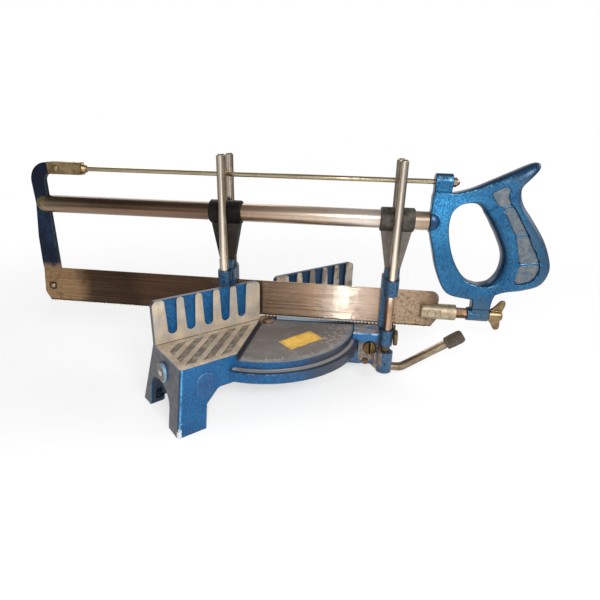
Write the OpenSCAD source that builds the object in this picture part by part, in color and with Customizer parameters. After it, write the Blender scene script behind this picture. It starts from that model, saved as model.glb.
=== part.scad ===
/* [Table and fence] */
// Height of the work table above the bench
table_h = 73.6; // [66:0.2:90]
// Thickness of the table plate
table_t = 7; // [5.5:0.5:9]
// Depth of the table in front of the fence face
table_d = 62.5; // [52:0.5:75]
// Length over both fences
fence_l = 278.8; // [262:0.2:340]
// Height of the fence above the table
fence_h = 47.2; // [35:0.2:60]
// Thickness of the fence plate
fence_t = 7; // [5:0.5:9]
// Radius of the upper fence corners
fence_corner_r = 5; // [2:0.5:10]
// Width of the saw throat between the two fences
throat_w = 24; // [18:0.5:30]
// Width of the saw throat at the front edge of the table
throat_front_w = 160.4; // [150:0.2:175]

/* [Fence pockets] */
// Number of tapered pockets in each fence
pocket_n = 5; // [3:1:5]
// Spacing of the pockets
pocket_pitch = 20.8; // [16:0.2:22]
// Pocket width below the round rib corners
pocket_top_w = 13; // [10:0.5:15]
// Radius of the rib corners at the top of the fence
pocket_flare_r = 3; // [1:0.5:3.5]
// Pocket width at its round lower end
pocket_bottom_w = 10; // [6:0.5:11]
// Height of the pocket ends above the table
pocket_floor = 9; // [6:0.5:20]
// Depth of the pockets
pocket_d = 2.5; // [1:0.5:4]

/* [Table recesses] */
// Number of slanted recesses in each table
recess_n = 5; // [3:1:6]
// Width of one slanted recess
recess_w = 7.5; // [5:0.5:9]
// Spacing of the recesses across their length
recess_pitch = 13.2; // [10:0.2:15]
// Depth of the recesses
recess_d = 1.2; // [0.5:0.1:2.5]
// Plain border round the recesses
recess_border = 6.5; // [4:0.5:10]

/* [Legs] */
// Wall thickness of aprons and legs
wall_t = 6; // [4:0.5:8]
// How far the end walls lean out at the bench
end_splay = 8; // [0:0.5:14]
// How far the rear walls lean out at the bench
rear_splay = 22; // [8:0.5:26]
// Width of a leg along the fence, at the table
leg_w = 24.4; // [20:0.2:32]
// Depth of a front leg
front_leg_d = 23; // [18:0.5:30]
// Depth of a rear leg at the bench
rear_leg_d = 17; // [12:0.5:20]
// Radius of the upright corners at the front
corner_r = 3.5; // [1.5:0.5:5]
// Height of the front and rear aprons below the table
apron_h = 31; // [24:0.5:36]
// Crown height of the arch in each end wall
end_arch_h = 41; // [30:0.5:44]
// Thickness of the screw pads inside the legs
pad_t = 4; // [3:0.5:8]
// Diameter of the bench screw holes
bench_hole_d = 5.5; // [4:0.5:7]
// Spacing of the bench screw holes along the fence
bench_hole_x = 270; // [256:1:272]
// Spacing of the bench screw holes across the fence
bench_hole_y = 67; // [60:1:69]
// Diameter of the round boss on each end wall
end_boss_d = 22; // [14:0.5:26]

/* [Quadrant] */
// Depth of the quadrant top below the table
quad_drop = 6.6; // [5:0.2:7]
// Thickness of the quadrant plate
quad_t = 8.4; // [6:0.2:10]
// Radius of the upper rim
quad_r = 103; // [100:0.5:105]
// Radius of the lower rim
rim_r = 110; // [107:0.5:116]
// Height of the lower rim
rim_h = 10.6; // [8:0.2:12]
// Height of the groove between the rims
rim_groove_h = 2; // [1:0.2:3]
// Width of the rim ring
rim_w = 11; // [9:0.5:14]
// Depth of the angle notches under the rim
notch_d = 4.5; // [3:0.5:6]
// Diameter of the pivot bolt
bolt_d = 10; // [8:0.5:12]
// Diameter of the pivot bolt's flat head
bolt_head_d = 14; // [13:0.5:20]

/* [Swing arm] */
// Angle of the saw from square, as drawn
mitre = 45; // [0:1:45]
// Width of the arm
arm_w = 22; // [20:0.5:26]
// Height of the arm
arm_h = 18; // [15:0.5:20]
// Length of the lever head beyond the rim
head_l = 21; // [20:0.5:28]
// Distance of the rear posts behind the pivot
rear_post_s = 47.6; // [44:0.2:56]
// Distance between the two posts of a pair
post_spread = 31.7; // [30:0.1:36]
// Diameter of a post
post_d = 9.6; // [8:0.2:10.4]
// Outer diameter of a post socket
socket_d = 18; // [15:0.5:19]
// Height of a post socket
socket_h = 25; // [20:0.5:28]
// Height of the posts above the tension rod
post_over_rod = 21.5; // [10:0.5:60]

/* [Angle lever] */
// Diameter of the lever rod
lever_d = 10; // [7:0.5:10.5]
// Length of the straight part of the lever rod behind its bend
lever_reach = 39; // [36:0.5:46]
// Length of the raised part of the lever rod
lever_l = 80; // [60:1:100]
// Rise of the lever rod from level
lever_rise = 35.5; // [20:0.5:38]
// Diameter of the rubber tip
tip_d = 15.5; // [13:0.5:17]
// Length of the rubber tip
tip_l = 22; // [15:0.5:30]

/* [Guides] */
// Outer diameter of a carriage collar
collar_d = 15; // [13.5:0.1:16]
// Height of a carriage collar
collar_h = 17.7; // [14:0.1:22]
// Diameter of a depth stop collar
stop_d = 14; // [13:0.5:16]
// Height of a depth stop collar
stop_h = 19; // [15:0.5:19]
// Diameter of a depth stop thumbscrew
thumb_d = 18; // [12:0.5:19]
// Outer diameter of a guide sleeve
sleeve_d = 26; // [24:0.5:30]
// Length of a guide sleeve
sleeve_l = 36.5; // [26:0.5:46]
// Thickness of a guide web
web_t = 10; // [7:0.5:12]
// Width of a guide web at the sleeve
web_top_w = 33; // [20:0.5:40]
// Width of a guide web at the carriage
web_bottom_w = 13; // [10:0.5:16]

/* [Blade] */
// Width of the blade from teeth to back
blade_w = 45; // [38:0.5:46]
// Thickness of the blade
blade_t = 0.9; // [0.6:0.1:1.4]
// Distance between the two blade pins
pin_span = 466; // [450:1:520]
// Height of the blade pins above the tooth tips
pin_rise = 21.2; // [18:0.2:24]
// Gap between tooth tips and table with the saw down
blade_gap = 0.6; // [0.4:0.2:4]
// Spacing of the saw teeth
tooth_pitch = 4.2; // [1.6:0.1:5]
// Depth of the saw teeth
tooth_d = 2.2; // [0.6:0.1:2.6]

/* [Saw frame] */
// Distance of the right blade pin from the pivot
pin_s = 189.6; // [186:0.2:215]
// Height of the spine tube's axis above the tooth tips
tube_rise = 123.9; // [119:0.1:130]
// Height of the tension rod's axis above the tube's axis
rod_rise = 41; // [36:0.2:48]
// Outer diameter of the spine tube
tube_d = 20; // [17:0.5:21]
// Wall of the spine tube
tube_wall = 1.5; // [1:0.1:2.5]
// Diameter of the tension rod
rod_d = 5.3; // [4:0.1:6.5]
// Width of the end arm
end_arm_w = 21; // [19:0.5:28]
// Thickness of the end arm
end_arm_t = 5; // [4:0.2:6]
// Height of the clevis
clevis_h = 13.5; // [12:0.5:16]
// Length of the clevis
clevis_l = 43; // [36:0.5:60]

/* [Handle] */
// Half thickness of the flat front of the handle
front_half_t = 8; // [7:0.2:9.6]
// Half thickness of the grip
grip_half_t = 15; // [13.5:0.2:17]
// Diameter of the barrel that holds the tension rod
rod_barrel_d = 17.2; // [14:0.2:20]
// Diameter of the barrel that holds the tension screw
screw_barrel_d = 15.4; // [14:0.2:17]
// Diameter of the blade block
block_d = 18; // [16:0.2:20]
// Diameter of the tension screw
screw_d = 8; // [6:0.5:9]
// Span of the wing nut
wing_span = 39; // [28:0.5:42]

/* [Hidden] */
$fn = 48;
press_gap = 0.02;
run_gap = 0.06;
seat_gap = 0.2;
move_gap = 0.4;
over = 1;

// Heights of the base casting
quad_z = table_h - quad_drop;
quad_floor_z = quad_z - quad_t;
rim_top_z = quad_floor_z - rim_groove_h;
rim_z = rim_top_z - rim_h;
rim_groove_in = 2;
notch_wall = 3;
quad_fn = 120;
x_end = fence_l / 2;
x_foot = x_end + end_splay;
throat_half = throat_w / 2;
throat_front = throat_front_w / 2;
apron_z = table_h - apron_h;
leg_in = x_end - leg_w;
leg_slope = 16;
leg_taper = 3;
knee_r = 6;
knee_end_r = 4;
knee_drop = 16;
knee_steps = 3;
foot_over = 10;
corner_lap = 0.11;
arch_round = 0.45;
arch_steps = 12;
rear_strip_drop = 8;
rear_strip_h = table_t + rear_strip_drop;
pocket_shift = 2.6;
flare_lap = 0.05;
flare_steps = 6;
front_corner_lap = 0.15;
corner_steps = 6;
end_lean = atan(end_splay / table_h);
rear_lean = atan(rear_splay / table_h);
wall_inset = 0.4;
rear_wall_y = fence_t - wall_inset;
rear_foot_y = rear_wall_y + rear_splay;
big = 1000;

// Bench screws
pad_r = 6;
pad_in = 7.5;
bench_head_d = 10;
bench_head_h = 8;
bench_y0 = -table_d + wall_t + pad_in;
bench_y1 = bench_y0 + bench_hole_y;

// End bosses and their screws
boss_y = -21;
boss_drop = 20;
boss_out = 2.5;
boss_edge = 0.8;
boss_z = table_h - boss_drop;
boss_x = x_end + end_splay * boss_drop / table_h + boss_out;
end_screw_d = 5;
end_screw_l = 13.5;
end_head_d = 7;
end_head_t = 1.4;
end_head_edge = 0.75;
leg_panel_w = 17;
leg_panel_h = 24;
leg_panel_t = 1;
leg_panel_in = 8;
leg_panel_drop = 11;

// Pivot
bolt_head_t = 1.8;
bolt_head_edge = 0.5;
bolt_tail = 3;
bush_wall = 2;
pivot_boss_d = 34;
rib_angles = [-60, -20, 20, 60];
rib_t = 5;
rib_h = 6;
arm_run = 0.3;
arm_drop = 2;
arm_top_z = rim_z - arm_drop;
arm_z = arm_top_z - arm_h;
pivot_boss_h = arm_h + arm_drop - seat_gap + arm_run;
washer_d = 24;
washer_t = 2;
nut_flats = 17;
nut_h = 7;
notch_angles = [-45, -36, -30, -22.5, 0, 22.5, 30, 36, 45];

// Swing arm, along the saw from the pivot
head_gap = 2.5;
head_s = rim_r + head_gap;
head_end_s = head_s + head_l;
post_ahead = 8;
front_post_s = head_end_s + post_ahead;
post_y = post_spread / 2;
post_r = post_d / 2;
socket_drop = 3.4;
socket_z = arm_z - socket_drop;
socket_floor = 2;
post_chamfer = 1.6;
post_z = socket_z + socket_floor;
cheek_half = 9.5;
brow_half = 12;
brow_drop = 13.5;
brow_in = 2;
head_over = 0.5;
head_top_z = quad_z + head_over;
brow_z = head_top_z - brow_drop;
kerf_w = 2.4;
kerf_d = 6;
beam_channel_w = 11;
beam_channel_wall = 6;
beam_channel_in = 4;
beam_channel_end = 20;
rear_yoke_half = 7;
front_yoke_half = 6;
front_yoke_up = 6;
link_lap = 4;
link_up = 4;

// Angle lever
lever_half = 3;
lever_slot_half = lever_half + move_gap + seat_gap;
lever_slot_lead = 10;
lever_slot_up = 4;
notch_w = 2 * (lever_half + move_gap);
lever_screw_d = 7;
lever_hub_r = 7.5;
lever_in = 11.5;
lever_up = 3.5;
lever_s = head_s + lever_in;
lever_z = arm_top_z + lever_up;
lever_rod_drop = 5.8;
lever_rod_back = 7;
lever_rod_z = arm_z - lever_rod_drop;
lever_rod_s = front_post_s - lever_rod_back;
lever_tongue_l = 12;
lever_tongue_h = 8;
pawl_in = 3;
pawl_edge = 1;
pawl_clear = 1.5;
pawl_up = 5;
pawl_lap = 2;
pawl_chin = 3;
tooth_in = 1;
tooth_s = rim_r - rim_w / 2 - tooth_in;
tooth_w = 4;
tooth_cover = 2;
tooth_crown = 5.2;
tooth_neck = 5.6;
tooth_root = 7;
tooth_heel = 9;
lever_head_d = 16;
lever_head_t = 2.6;
lever_head_edge = 0.8;
lever_face_d = lever_head_d + 3;
driver_slot_w = 1.8;
driver_slot_d = 1.2;
arm_screw_d = 4;
arm_screw_in = 4;
arm_screw_s = lever_s - arm_screw_in;
arm_screw_z = arm_z + arm_screw_in;
arm_screw_l = cheek_half - lever_slot_half;
arm_screw_flats = 7;
arm_screw_head_t = 2.6;
lever_bend_r = 14;
lever_knee_s = lever_s + lever_reach;
lever_tangent = lever_bend_r * tan(lever_rise / 2);
lever_turn_s = lever_knee_s - lever_tangent;
tip_end = 2.5;
tip_edge = 3;
tip_round = 4;
spring_wire = 0.9;
spring_turns = 2.5;
spring_gap = 0.5;
spring_play = 0.3;
spring_pitch = spring_wire + spring_gap;
spring_r = lever_screw_d / 2 + spring_wire / 2 + spring_gap;
spring_y = lever_half + move_gap / 2 + spring_wire / 2;
spring_end_y = spring_y + spring_turns * spring_pitch + spring_wire / 2;

// Saw heights
blade_z = table_h + blade_gap;
pin_z = blade_z + pin_rise;
tube_z = blade_z + tube_rise;
rod_z = tube_z + rod_rise;
post_top_z = rod_z + post_over_rod;
tube_r = tube_d / 2;
spigot_r = tube_r - tube_wall - press_gap;

// Set screws that hold the posts in their sockets
post_screw_d = 5;
post_screw_l = socket_d / 2 - post_r;
post_screw_sunk = 0.6;
screw_slot_w = 1;
screw_slot_d = 1.2;

// Carriages
bridge_gap = 3.2;
bridge_z = blade_z + blade_w + bridge_gap;
collar_drop = 6.2;
collar_z = bridge_z - collar_drop;
collar_top_z = collar_z + collar_h;
collar_mid_z = collar_z + collar_h / 2;
cheek_up = 11;
cheek_t = 3.5;
block_top_z = collar_top_z + cheek_up;
block_half_s = 8;
block_half_y = web_t / 2 + cheek_t;
guide_play = 0.7;
guide_slot_half = blade_t / 2 + guide_play;
finger_gap = 0.6;
finger_half = post_y - post_r - finger_gap;
finger_front_s = 10;
finger_back_s = 4;
finger_up = 1;
finger_z = blade_z + finger_up;
stop_top_z = finger_z - seat_gap;
stop_z = stop_top_z - stop_h;
thumb_z = stop_top_z - stop_h / 2;
thumb_t = 4;
thumb_edge = 0.6;
thumb_stand = 1;
thumb_shank_d = 4;
knurl_n = 24;
knurl_d = 1.6;
knurl_out = 0.3;
web_up = 0.5;
web_z = collar_top_z + web_up;
sleeve_edge = 1.2;
hold_screw_d = 5;
hold_tip_gap = 0.1;
hold_screw_s = post_r + run_gap + hold_tip_gap;
hold_head_s = max(collar_d / 2, block_half_s) + seat_gap;
hold_head_d = 9;
hold_head_t = 2.2;
hold_head_edge = 0.8;
hold_slot_w = 1.2;
hold_slot_d = 1.2;

// End of the saw frame away from the handle
left_pin_s = pin_s - pin_span;
blade_pin_d = 5;
pin_edge = 10;
pin_out = 1.4;
pin_head_d = 8;
pin_head_edge = 0.7;
pin_head_t = 1.6;
arm_lap = 14;
arm_in_s = left_pin_s + arm_lap;
arm_out_s = arm_in_s - end_arm_w;
arm_bend_r = 22;
arm_eye_r = 6;
arm_fillet_r = 9;
arm_tip_cut = 6;
arm_tip_in = 1;
arm_lean_top = 5.4;
arm_lean_bend = 4.4;
arm_lean_mid = 0.8;
arm_bow_mid = 40;
arm_bow_end = 72;
seat_s = arm_in_s + seat_gap;
plug_s = arm_in_s + 2 * seat_gap;
plug_l = 22;
plug_rim = 5;
plug_in = 0.3;
plug_r = tube_r - plug_in;
rivet_d = 4.4;
rivet_head_d = 6.8;
rivet_head_t = 1.2;
rivet_ahead = 31.5;
rivet_s = left_pin_s + rivet_ahead;
clevis_back = 9.5;
clevis_s = rivet_s - clevis_back;
clevis_end_s = clevis_s + clevis_l;
clevis_wall = 3;
clevis_half_y = end_arm_t / 2 + clevis_wall;
clevis_edge = 1;
clevis_slot = 8;
clevis_nose = 4.5;
clevis_lap = 0.5;
clevis_nose_s = clevis_end_s - clevis_nose;
clevis_ring = 3;
clevis_tip = 3.5;
rod_in = 14;

// Ends of the blade
blade_end_l = 11.5;
blade_end_r = 7.5;
blade_heel = 8;
heel_rise = 13;
heel_cut = 3.5;
toe_rise = 11;
toe_cut = 5.5;
blade_corner_r = 9;

// Handle, from its front face on the tube axis
pin_behind = 14.6;
handle_s = pin_s - pin_behind;
tube_back = 0.6;
tube_end_s = handle_s - tube_back;
spigot_l = 9;
tube_cup_over = 0.3;
tube_cup_r = tube_r + tube_cup_over;
tube_cup_l = 4;
rod_barrel_s = 1;
rod_barrel_l = 18;
rod_seat_h = 6;
nut_s = handle_s + rod_barrel_s + rod_barrel_l;
rod_out = 3.4;
rod_end_s = nut_s + rod_out;
rod_nut_flats = 8.4;
rod_nut_h = 4;
rod_cap_r = 3.9;
rod_cap_in = 0.4;
neck_ahead = 54;
neck_s = handle_s + neck_ahead;
neck_l = 23.5;
neck_step = 3.5;
neck_in = 0.6;
neck_up = 8;
block_l = 38;
block_back = 11;
block_s = pin_s - block_back;
block_slot = 8;
block_screw_l = 12;
block_flat_l = 21;
block_flat_in = 1.2;
block_flat_y = block_d / 2 - block_flat_in;
block_head_d = 9.4;
block_head_edge = 0.7;
block_head_t = 1;
hex_flats = 10.5;
wing_s = neck_s + neck_l + seat_gap;
wing_hub_d = 13;
wing_hub_l = 15;
wing_l = 16;
wing_turn = 12;
wing_t = 3;
wing_in = 0.6;
wing_root = 2;
wing_tip_r = 4;
wing_tip_turn = 130;
wing_hub_slope = 1;
screw_short = 1;
screw_end_s = wing_s + wing_hub_l - screw_short;

// Rows of the handle: inner edge, outer edge, half thickness and squareness of the section
grip_sq = 2.7;
front_sq = 7;
blend_sq = 4;
horn_in = 4;
handle_rows = [
  [20.8, -2.6, 0.4, -6, front_half_t, front_sq],
  [22.3, 10, 0.3, 13.2, front_half_t, front_sq],
  [28, 17.2, 2, 31, front_half_t, front_sq],
  [33, 20, 19, 30.5, front_half_t, front_sq],
  [40, 21, 38, 35.5, front_half_t + 1, blend_sq],
  [46.4, 20, 58, 45, grip_half_t - horn_in, grip_sq],
  [50, 17.8, 77.5, 54.7, grip_half_t - 3, grip_sq],
  [52.4, 15.5, 96, 63, grip_half_t - horn_in, grip_sq],
  [54, 13, 101, 58, grip_half_t - horn_in, grip_sq],
  [56, 10, 89, 43, grip_half_t - 2, grip_sq],
  [60, 4.5, 87.3, 33, grip_half_t - 1, grip_sq],
  [64, -2, 92, 21, grip_half_t, grip_sq],
  [70, -11.5, 104, 6, grip_half_t, grip_sq],
  [77.7, -26.6, 118, -13, grip_half_t, grip_sq],
  [80.2, -37, 127.5, -32, grip_half_t, grip_sq],
  [79.5, -48.5, 130.8, -47, grip_half_t, grip_sq],
  [76, -57, 125, -62, grip_half_t - 0.5, grip_sq],
  [70, -63.5, 110, -69, grip_half_t - 2, grip_sq],
  [62, -66.5, 88, -73.5, grip_half_t - horn_in, blend_sq],
  [55.9, -65.5, 66, -83, front_half_t + 1, front_sq],
  [46.8, -61.6, 48, -83.3, front_half_t, front_sq],
  [36.6, -50.2, 27, -77.5, front_half_t, front_sq],
  [28, -34, 14, -54.5, front_half_t, front_sq],
  [22.8, -16.7, 6.5, -30, front_half_t, front_sq]
];
handle_steps = 3;
handle_sides = 16;
handle_bottom = -80;
handle_top = 29;

// Corners of the four grip panels, in the handle's own plane
panel_t = 2.4;
panel_sink = 4.6;
panel_floor = grip_half_t - panel_sink;
panel_gap = 0.1;
panels = [
  [[57.2, 31.3], [62.7, 36.3], [69.1, 39.5], [73.6, 36.8], [73.4, 30], [77.6, 21.4], [67.6, 18.7]],
  [[70.1, 17.5], [80.9, 19.2], [98, -5.8], [85.4, -7.7]],
  [[87.4, -12], [99.8, -8.8], [115.2, -35.5], [95.9, -38]],
  [[95.8, -41.8], [116.1, -38.7], [116.4, -47.2], [111.1, -56.8], [99.6, -61.1], [94.2, -58.1]]
];

blue = [0.10, 0.36, 0.66];
navy = [0.08, 0.13, 0.22];
bare = [0.62, 0.58, 0.53];
steel = [0.66, 0.62, 0.56];
zinc = [0.66, 0.58, 0.36];
brass = [0.62, 0.48, 0.24];
black = [0.09, 0.09, 0.09];
brown = [0.42, 0.30, 0.20];
copper = [0.62, 0.42, 0.30];
graphite = [0.22, 0.22, 0.22];

// Shared helpers
function arc(c, r, a0, a1, n = 8) =
  [for (i = [0:n]) let (a = a0 + (a1 - a0) * i / n) c + r * [cos(a), sin(a)]];

module at_mitre() {
  rotate([0, 0, -mitre]) children();
}

module along_x(s, y, z) {
  translate([s, y, z]) rotate([0, 90, 0]) children();
}

module along_y(s, y, z) {
  translate([s, y, z]) rotate([-90, 0, 0]) children();
}

// A plate in the plane of the saw, drawn as length by height
module upright(y0, y1) {
  translate([0, y1, 0]) rotate([90, 0, 0]) linear_extrude(y1 - y0) children();
}

module tube_ring(r_out, r_in, h) {
  difference() {
    cylinder(r = r_out, h = h);
    translate([0, 0, -over]) cylinder(r = r_in, h = h + 2 * over);
  }
}

module hex(flats, h) {
  cylinder(d = flats / cos(30), h = h, $fn = 6);
}

// Base casting
module table_outline(inset = 0) {
  lean = atan((throat_front - throat_half) / table_d);
  shift = inset / cos(lean);
  step = (throat_front - throat_half) / table_d;
  y0 = -inset;
  y1 = -table_d + inset;
  polygon([
    [throat_half + shift - step * y0, y0], [x_end - inset, y0],
    [x_end - inset, y1], [throat_half + shift - step * y1, y1]
  ]);
}

module table_recesses() {
  lean = atan((throat_front - throat_half) / table_d);
  translate([0, 0, table_h - recess_d])
    linear_extrude(recess_d + over)
      intersection() {
        table_outline(recess_border);
        for (i = [0:recess_n - 1])
          translate([throat_half, 0])
            rotate(lean - 90)
              translate([-big / 2, recess_border + i * recess_pitch])
                square([big, recess_w]);
      }
}

module fence_outline() {
  h = table_t + fence_h;
  l = x_end - throat_half;
  r = fence_corner_r;
  translate([throat_half, table_h - table_t]) {
    square([l, h - r]);
    translate([r, 0]) square([l - 2 * r, h]);
    for (x = [r, l - r]) translate([x, h - r]) circle(r);
  }
}

module fence_pockets() {
  z1 = table_h + pocket_floor + pocket_bottom_w / 2;
  z2 = table_h + fence_h;
  low = pocket_bottom_w / 2;
  side = pocket_top_w / 2;
  r = min(pocket_flare_r, (pocket_pitch - pocket_top_w) / 2);
  flare_z = z2 - r + flare_lap;
  mid = (throat_half + x_end) / 2;
  for (i = [0:pocket_n - 1])
    translate([mid + (i - (pocket_n - 1) / 2) * pocket_pitch + pocket_shift, 0]) {
      polygon(concat(
        [[-low, z1], [low, z1]],
        arc([side + r, flare_z], r, 180, 90, flare_steps),
        [[side + r, z2 + over], [-side - r, z2 + over]],
        arc([-side - r, flare_z], r, 90, 0, flare_steps)
      ));
      translate([0, z1]) circle(r = low);
    }
}

module apron_outline(x_in, low, splay) {
  reach = splay * (table_h + foot_over) / table_h + corner_lap;
  polygon(concat(
    [[x_in, table_h], [x_in, low]],
    arc([leg_in - leg_slope, low - knee_r], knee_r, 90, 45, knee_steps),
    arc([leg_in - knee_end_r, low - knee_drop], knee_end_r, 45, 0, knee_steps),
    [[leg_in + leg_taper, -foot_over], [x_end + reach, -foot_over], [x_end, table_h]]
  ));
}

module end_wall_outline() {
  y0 = -table_d + front_leg_d;
  y1 = rear_foot_y - rear_leg_d;
  r = (y1 - y0) / 2;
  crown = end_arch_h * arch_round;
  spring_z = end_arch_h - crown - table_h;
  low = -table_h - foot_over;
  difference() {
    polygon([
      [-table_d, 0], [rear_wall_y, 0],
      [rear_wall_y - rear_splay * low / table_h, low], [-table_d, low]
    ]);
    polygon(concat(
      [[y0, low - over], [y0, spring_z]],
      [for (i = [0:arch_steps]) let (a = 180 - 180 * i / arch_steps)
        [(y0 + y1) / 2 + r * cos(a), spring_z + crown * sin(a)]],
      [[y1, low - over]]
    ));
  }
}

// What is cut away to round the front corner of an end wall
module front_corner() {
  in = corner_r - front_corner_lap;
  translate([x_end, -table_d, table_h]) rotate([0, -end_lean, 0])
    translate([0, 0, -table_h - foot_over])
      linear_extrude(table_h + 2 * foot_over)
        polygon(concat(
          arc([-in, in], corner_r, 270, 360, corner_steps),
          [[foot_over, in], [foot_over, -foot_over], [-in, -foot_over]]
        ));
}

module end_boss() {
  along_x(boss_x - boss_out - wall_t, boss_y, boss_z)
    cylinder(d = end_boss_d, h = boss_out + wall_t - boss_edge);
  along_x(boss_x - boss_edge, boss_y, boss_z)
    cylinder(d1 = end_boss_d, d2 = end_boss_d - 2 * boss_edge, h = boss_edge);
}

module half_base() {
  difference() {
    union() {
      translate([0, 0, table_h - table_t]) linear_extrude(table_t) table_outline();
      upright(0, fence_t) fence_outline();
      upright(-table_d, -table_d + wall_t)
        apron_outline(throat_front, apron_z, end_splay);
      translate([0, rear_wall_y, table_h]) rotate([rear_lean, 0, 0]) translate([0, 0, -table_h])
        upright(-wall_t, 0) {
          apron_outline(leg_in - leg_slope - wall_t, apron_z, end_splay);
          translate([throat_half + over, table_h - rear_strip_h])
            square([x_end - throat_half - over, rear_strip_h]);
        }
      translate([x_end, 0, table_h]) rotate([0, -end_lean, 0])
        rotate([90, 0, 90]) translate([0, 0, -wall_t]) linear_extrude(wall_t) end_wall_outline();
      end_boss();
      upright(-table_d - leg_panel_t, -table_d) leg_panel_outline();
      for (y = [bench_y0, bench_y1])
        translate([bench_hole_x / 2, y, 0]) {
          cylinder(r = pad_r, h = pad_t);
          translate([0, -pad_r, 0]) cube([x_foot - wall_t - bench_hole_x / 2 + over, 2 * pad_r, pad_t]);
        }
    }
    upright(-over, pocket_d) fence_pockets();
    table_recesses();
    front_corner();
    for (y = [bench_y0, bench_y1])
      translate([bench_hole_x / 2, y, 0]) {
        translate([0, 0, -over]) cylinder(d = bench_hole_d, h = pad_t + 2 * over);
        translate([0, 0, pad_t]) cylinder(d = bench_head_d, h = bench_head_h);
      }
    along_x(boss_x - end_screw_l, boss_y, boss_z)
      cylinder(d = end_screw_d + 2 * press_gap, h = end_screw_l + over);
  }
}

module leg_panel_outline() {
  r = leg_panel_w / 2;
  x = leg_in + r - leg_panel_in;
  z = table_h - leg_panel_drop;
  translate([x - r, z - leg_panel_h]) square([leg_panel_w, leg_panel_h - r]);
  translate([x, z - r]) circle(r);
}

module quadrant() {
  difference() {
    union() {
      translate([0, 0, quad_floor_z]) cylinder(r = quad_r, h = quad_t, $fn = quad_fn);
      translate([0, 0, rim_z]) tube_ring(rim_r, rim_r - rim_w, rim_h, $fn = quad_fn);
      translate([0, 0, rim_top_z - over])
        tube_ring(quad_r - rim_groove_in, rim_r - rim_w, rim_groove_h + 2 * over, $fn = quad_fn);
      for (a = rib_angles)
        rotate([0, 0, a - 90]) translate([pivot_boss_d / 2 - over, -rib_t / 2, quad_floor_z - rib_h])
          cube([rim_r - rim_w - pivot_boss_d / 2 + 2 * over, rib_t, rib_h + over]);
    }
    translate([-big, fence_t, 0]) cube([2 * big, big, big]);
    for (a = notch_angles)
      rotate([0, 0, a - 90]) translate([rim_r - rim_w - over, -notch_w / 2, rim_z - over])
        cube([rim_w - notch_wall + over, notch_w, notch_d + over]);
  }
}

module pivot_tail() {
  translate([0, 0, rim_z + arm_run]) cylinder(d = pivot_boss_d, h = quad_z - rim_z - arm_run - over);
}

module base_casting() {
  color(blue)
    difference() {
      union() {
        for (k = [0, 1]) mirror([k, 0, 0]) half_base();
        quadrant();
        pivot_tail();
      }
      translate([0, 0, rim_z - over]) cylinder(d = bolt_d + 2 * press_gap, h = quad_z);
      translate([-big, -big, -big]) cube([2 * big, 2 * big, big]);
    }
}

module pivot_bolt() {
  z0 = arm_z - washer_t - nut_h - bolt_tail;
  z1 = quad_z + bolt_head_t - bolt_head_edge;
  color(copper) {
    translate([0, 0, z0]) cylinder(d = bolt_d, h = z1 - z0);
    translate([0, 0, quad_z]) cylinder(d = bolt_head_d, h = z1 - quad_z);
    translate([0, 0, z1])
      cylinder(d1 = bolt_head_d, d2 = bolt_head_d - 2 * bolt_head_edge, h = bolt_head_edge);
  }
}

module pivot_washer() {
  color(steel) translate([0, 0, arm_z - washer_t - seat_gap])
    tube_ring(washer_d / 2, bolt_d / 2 + press_gap, washer_t);
}

module pivot_nut() {
  color(steel) translate([0, 0, arm_z - washer_t - seat_gap - nut_h])
    difference() {
      hex(nut_flats, nut_h);
      translate([0, 0, -over]) cylinder(d = bolt_d + 2 * press_gap, h = nut_h + 2 * over);
    }
}

module end_screws() {
  color(bare)
    for (k = [0, 1]) mirror([k, 0, 0]) {
      along_x(boss_x - end_screw_l, boss_y, boss_z) cylinder(d = end_screw_d, h = end_screw_l);
      along_x(boss_x, boss_y, boss_z)
        cylinder(d1 = end_head_d, d2 = end_head_d - 2 * end_head_edge, h = end_head_t);
    }
}

// Swing arm
module post_places(s_list = [front_post_s, -rear_post_s], y_list = [-post_y, post_y]) {
  for (s = s_list)
    for (y = y_list)
      translate([s, y, 0]) children();
}

module arm_body() {
  translate([-rear_post_s, -arm_w / 2, arm_z]) cube([rear_post_s + head_s + over, arm_w, arm_h]);
  translate([0, 0, arm_z]) cylinder(d = pivot_boss_d, h = pivot_boss_h);
  translate([-rear_post_s - rear_yoke_half, -post_y, arm_z]) cube([2 * rear_yoke_half, post_spread, arm_h]);
  translate([head_s, -cheek_half, arm_z]) cube([head_l, 2 * cheek_half, head_top_z - arm_z]);
  translate([head_s, -brow_half, brow_z]) cube([head_l - brow_in, 2 * brow_half, brow_drop]);
  for (k = [0, 1]) mirror([0, k, 0])
    translate([head_end_s - link_lap, lever_slot_half, arm_z + link_up])
      cube([post_ahead + link_lap, post_y - lever_slot_half, arm_h - link_up]);
  translate([front_post_s - front_yoke_half, -post_y, arm_z + front_yoke_up])
    cube([2 * front_yoke_half, post_spread, arm_h - front_yoke_up]);
  translate([0, 0, socket_z]) post_places() cylinder(d = socket_d, h = socket_h);
}

module beam_channel() {
  s0 = pivot_boss_d / 2 + beam_channel_in;
  translate([s0, -beam_channel_w / 2, arm_z - over])
    cube([tooth_s - beam_channel_end - s0, beam_channel_w, arm_h - beam_channel_wall + over]);
}

module lever_slot() {
  s0 = tooth_s - lever_slot_lead;
  translate([s0, -lever_slot_half, arm_z - over])
    cube([head_end_s - s0 + over, 2 * lever_slot_half, brow_z + lever_slot_up - arm_z + over]);
}

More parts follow.
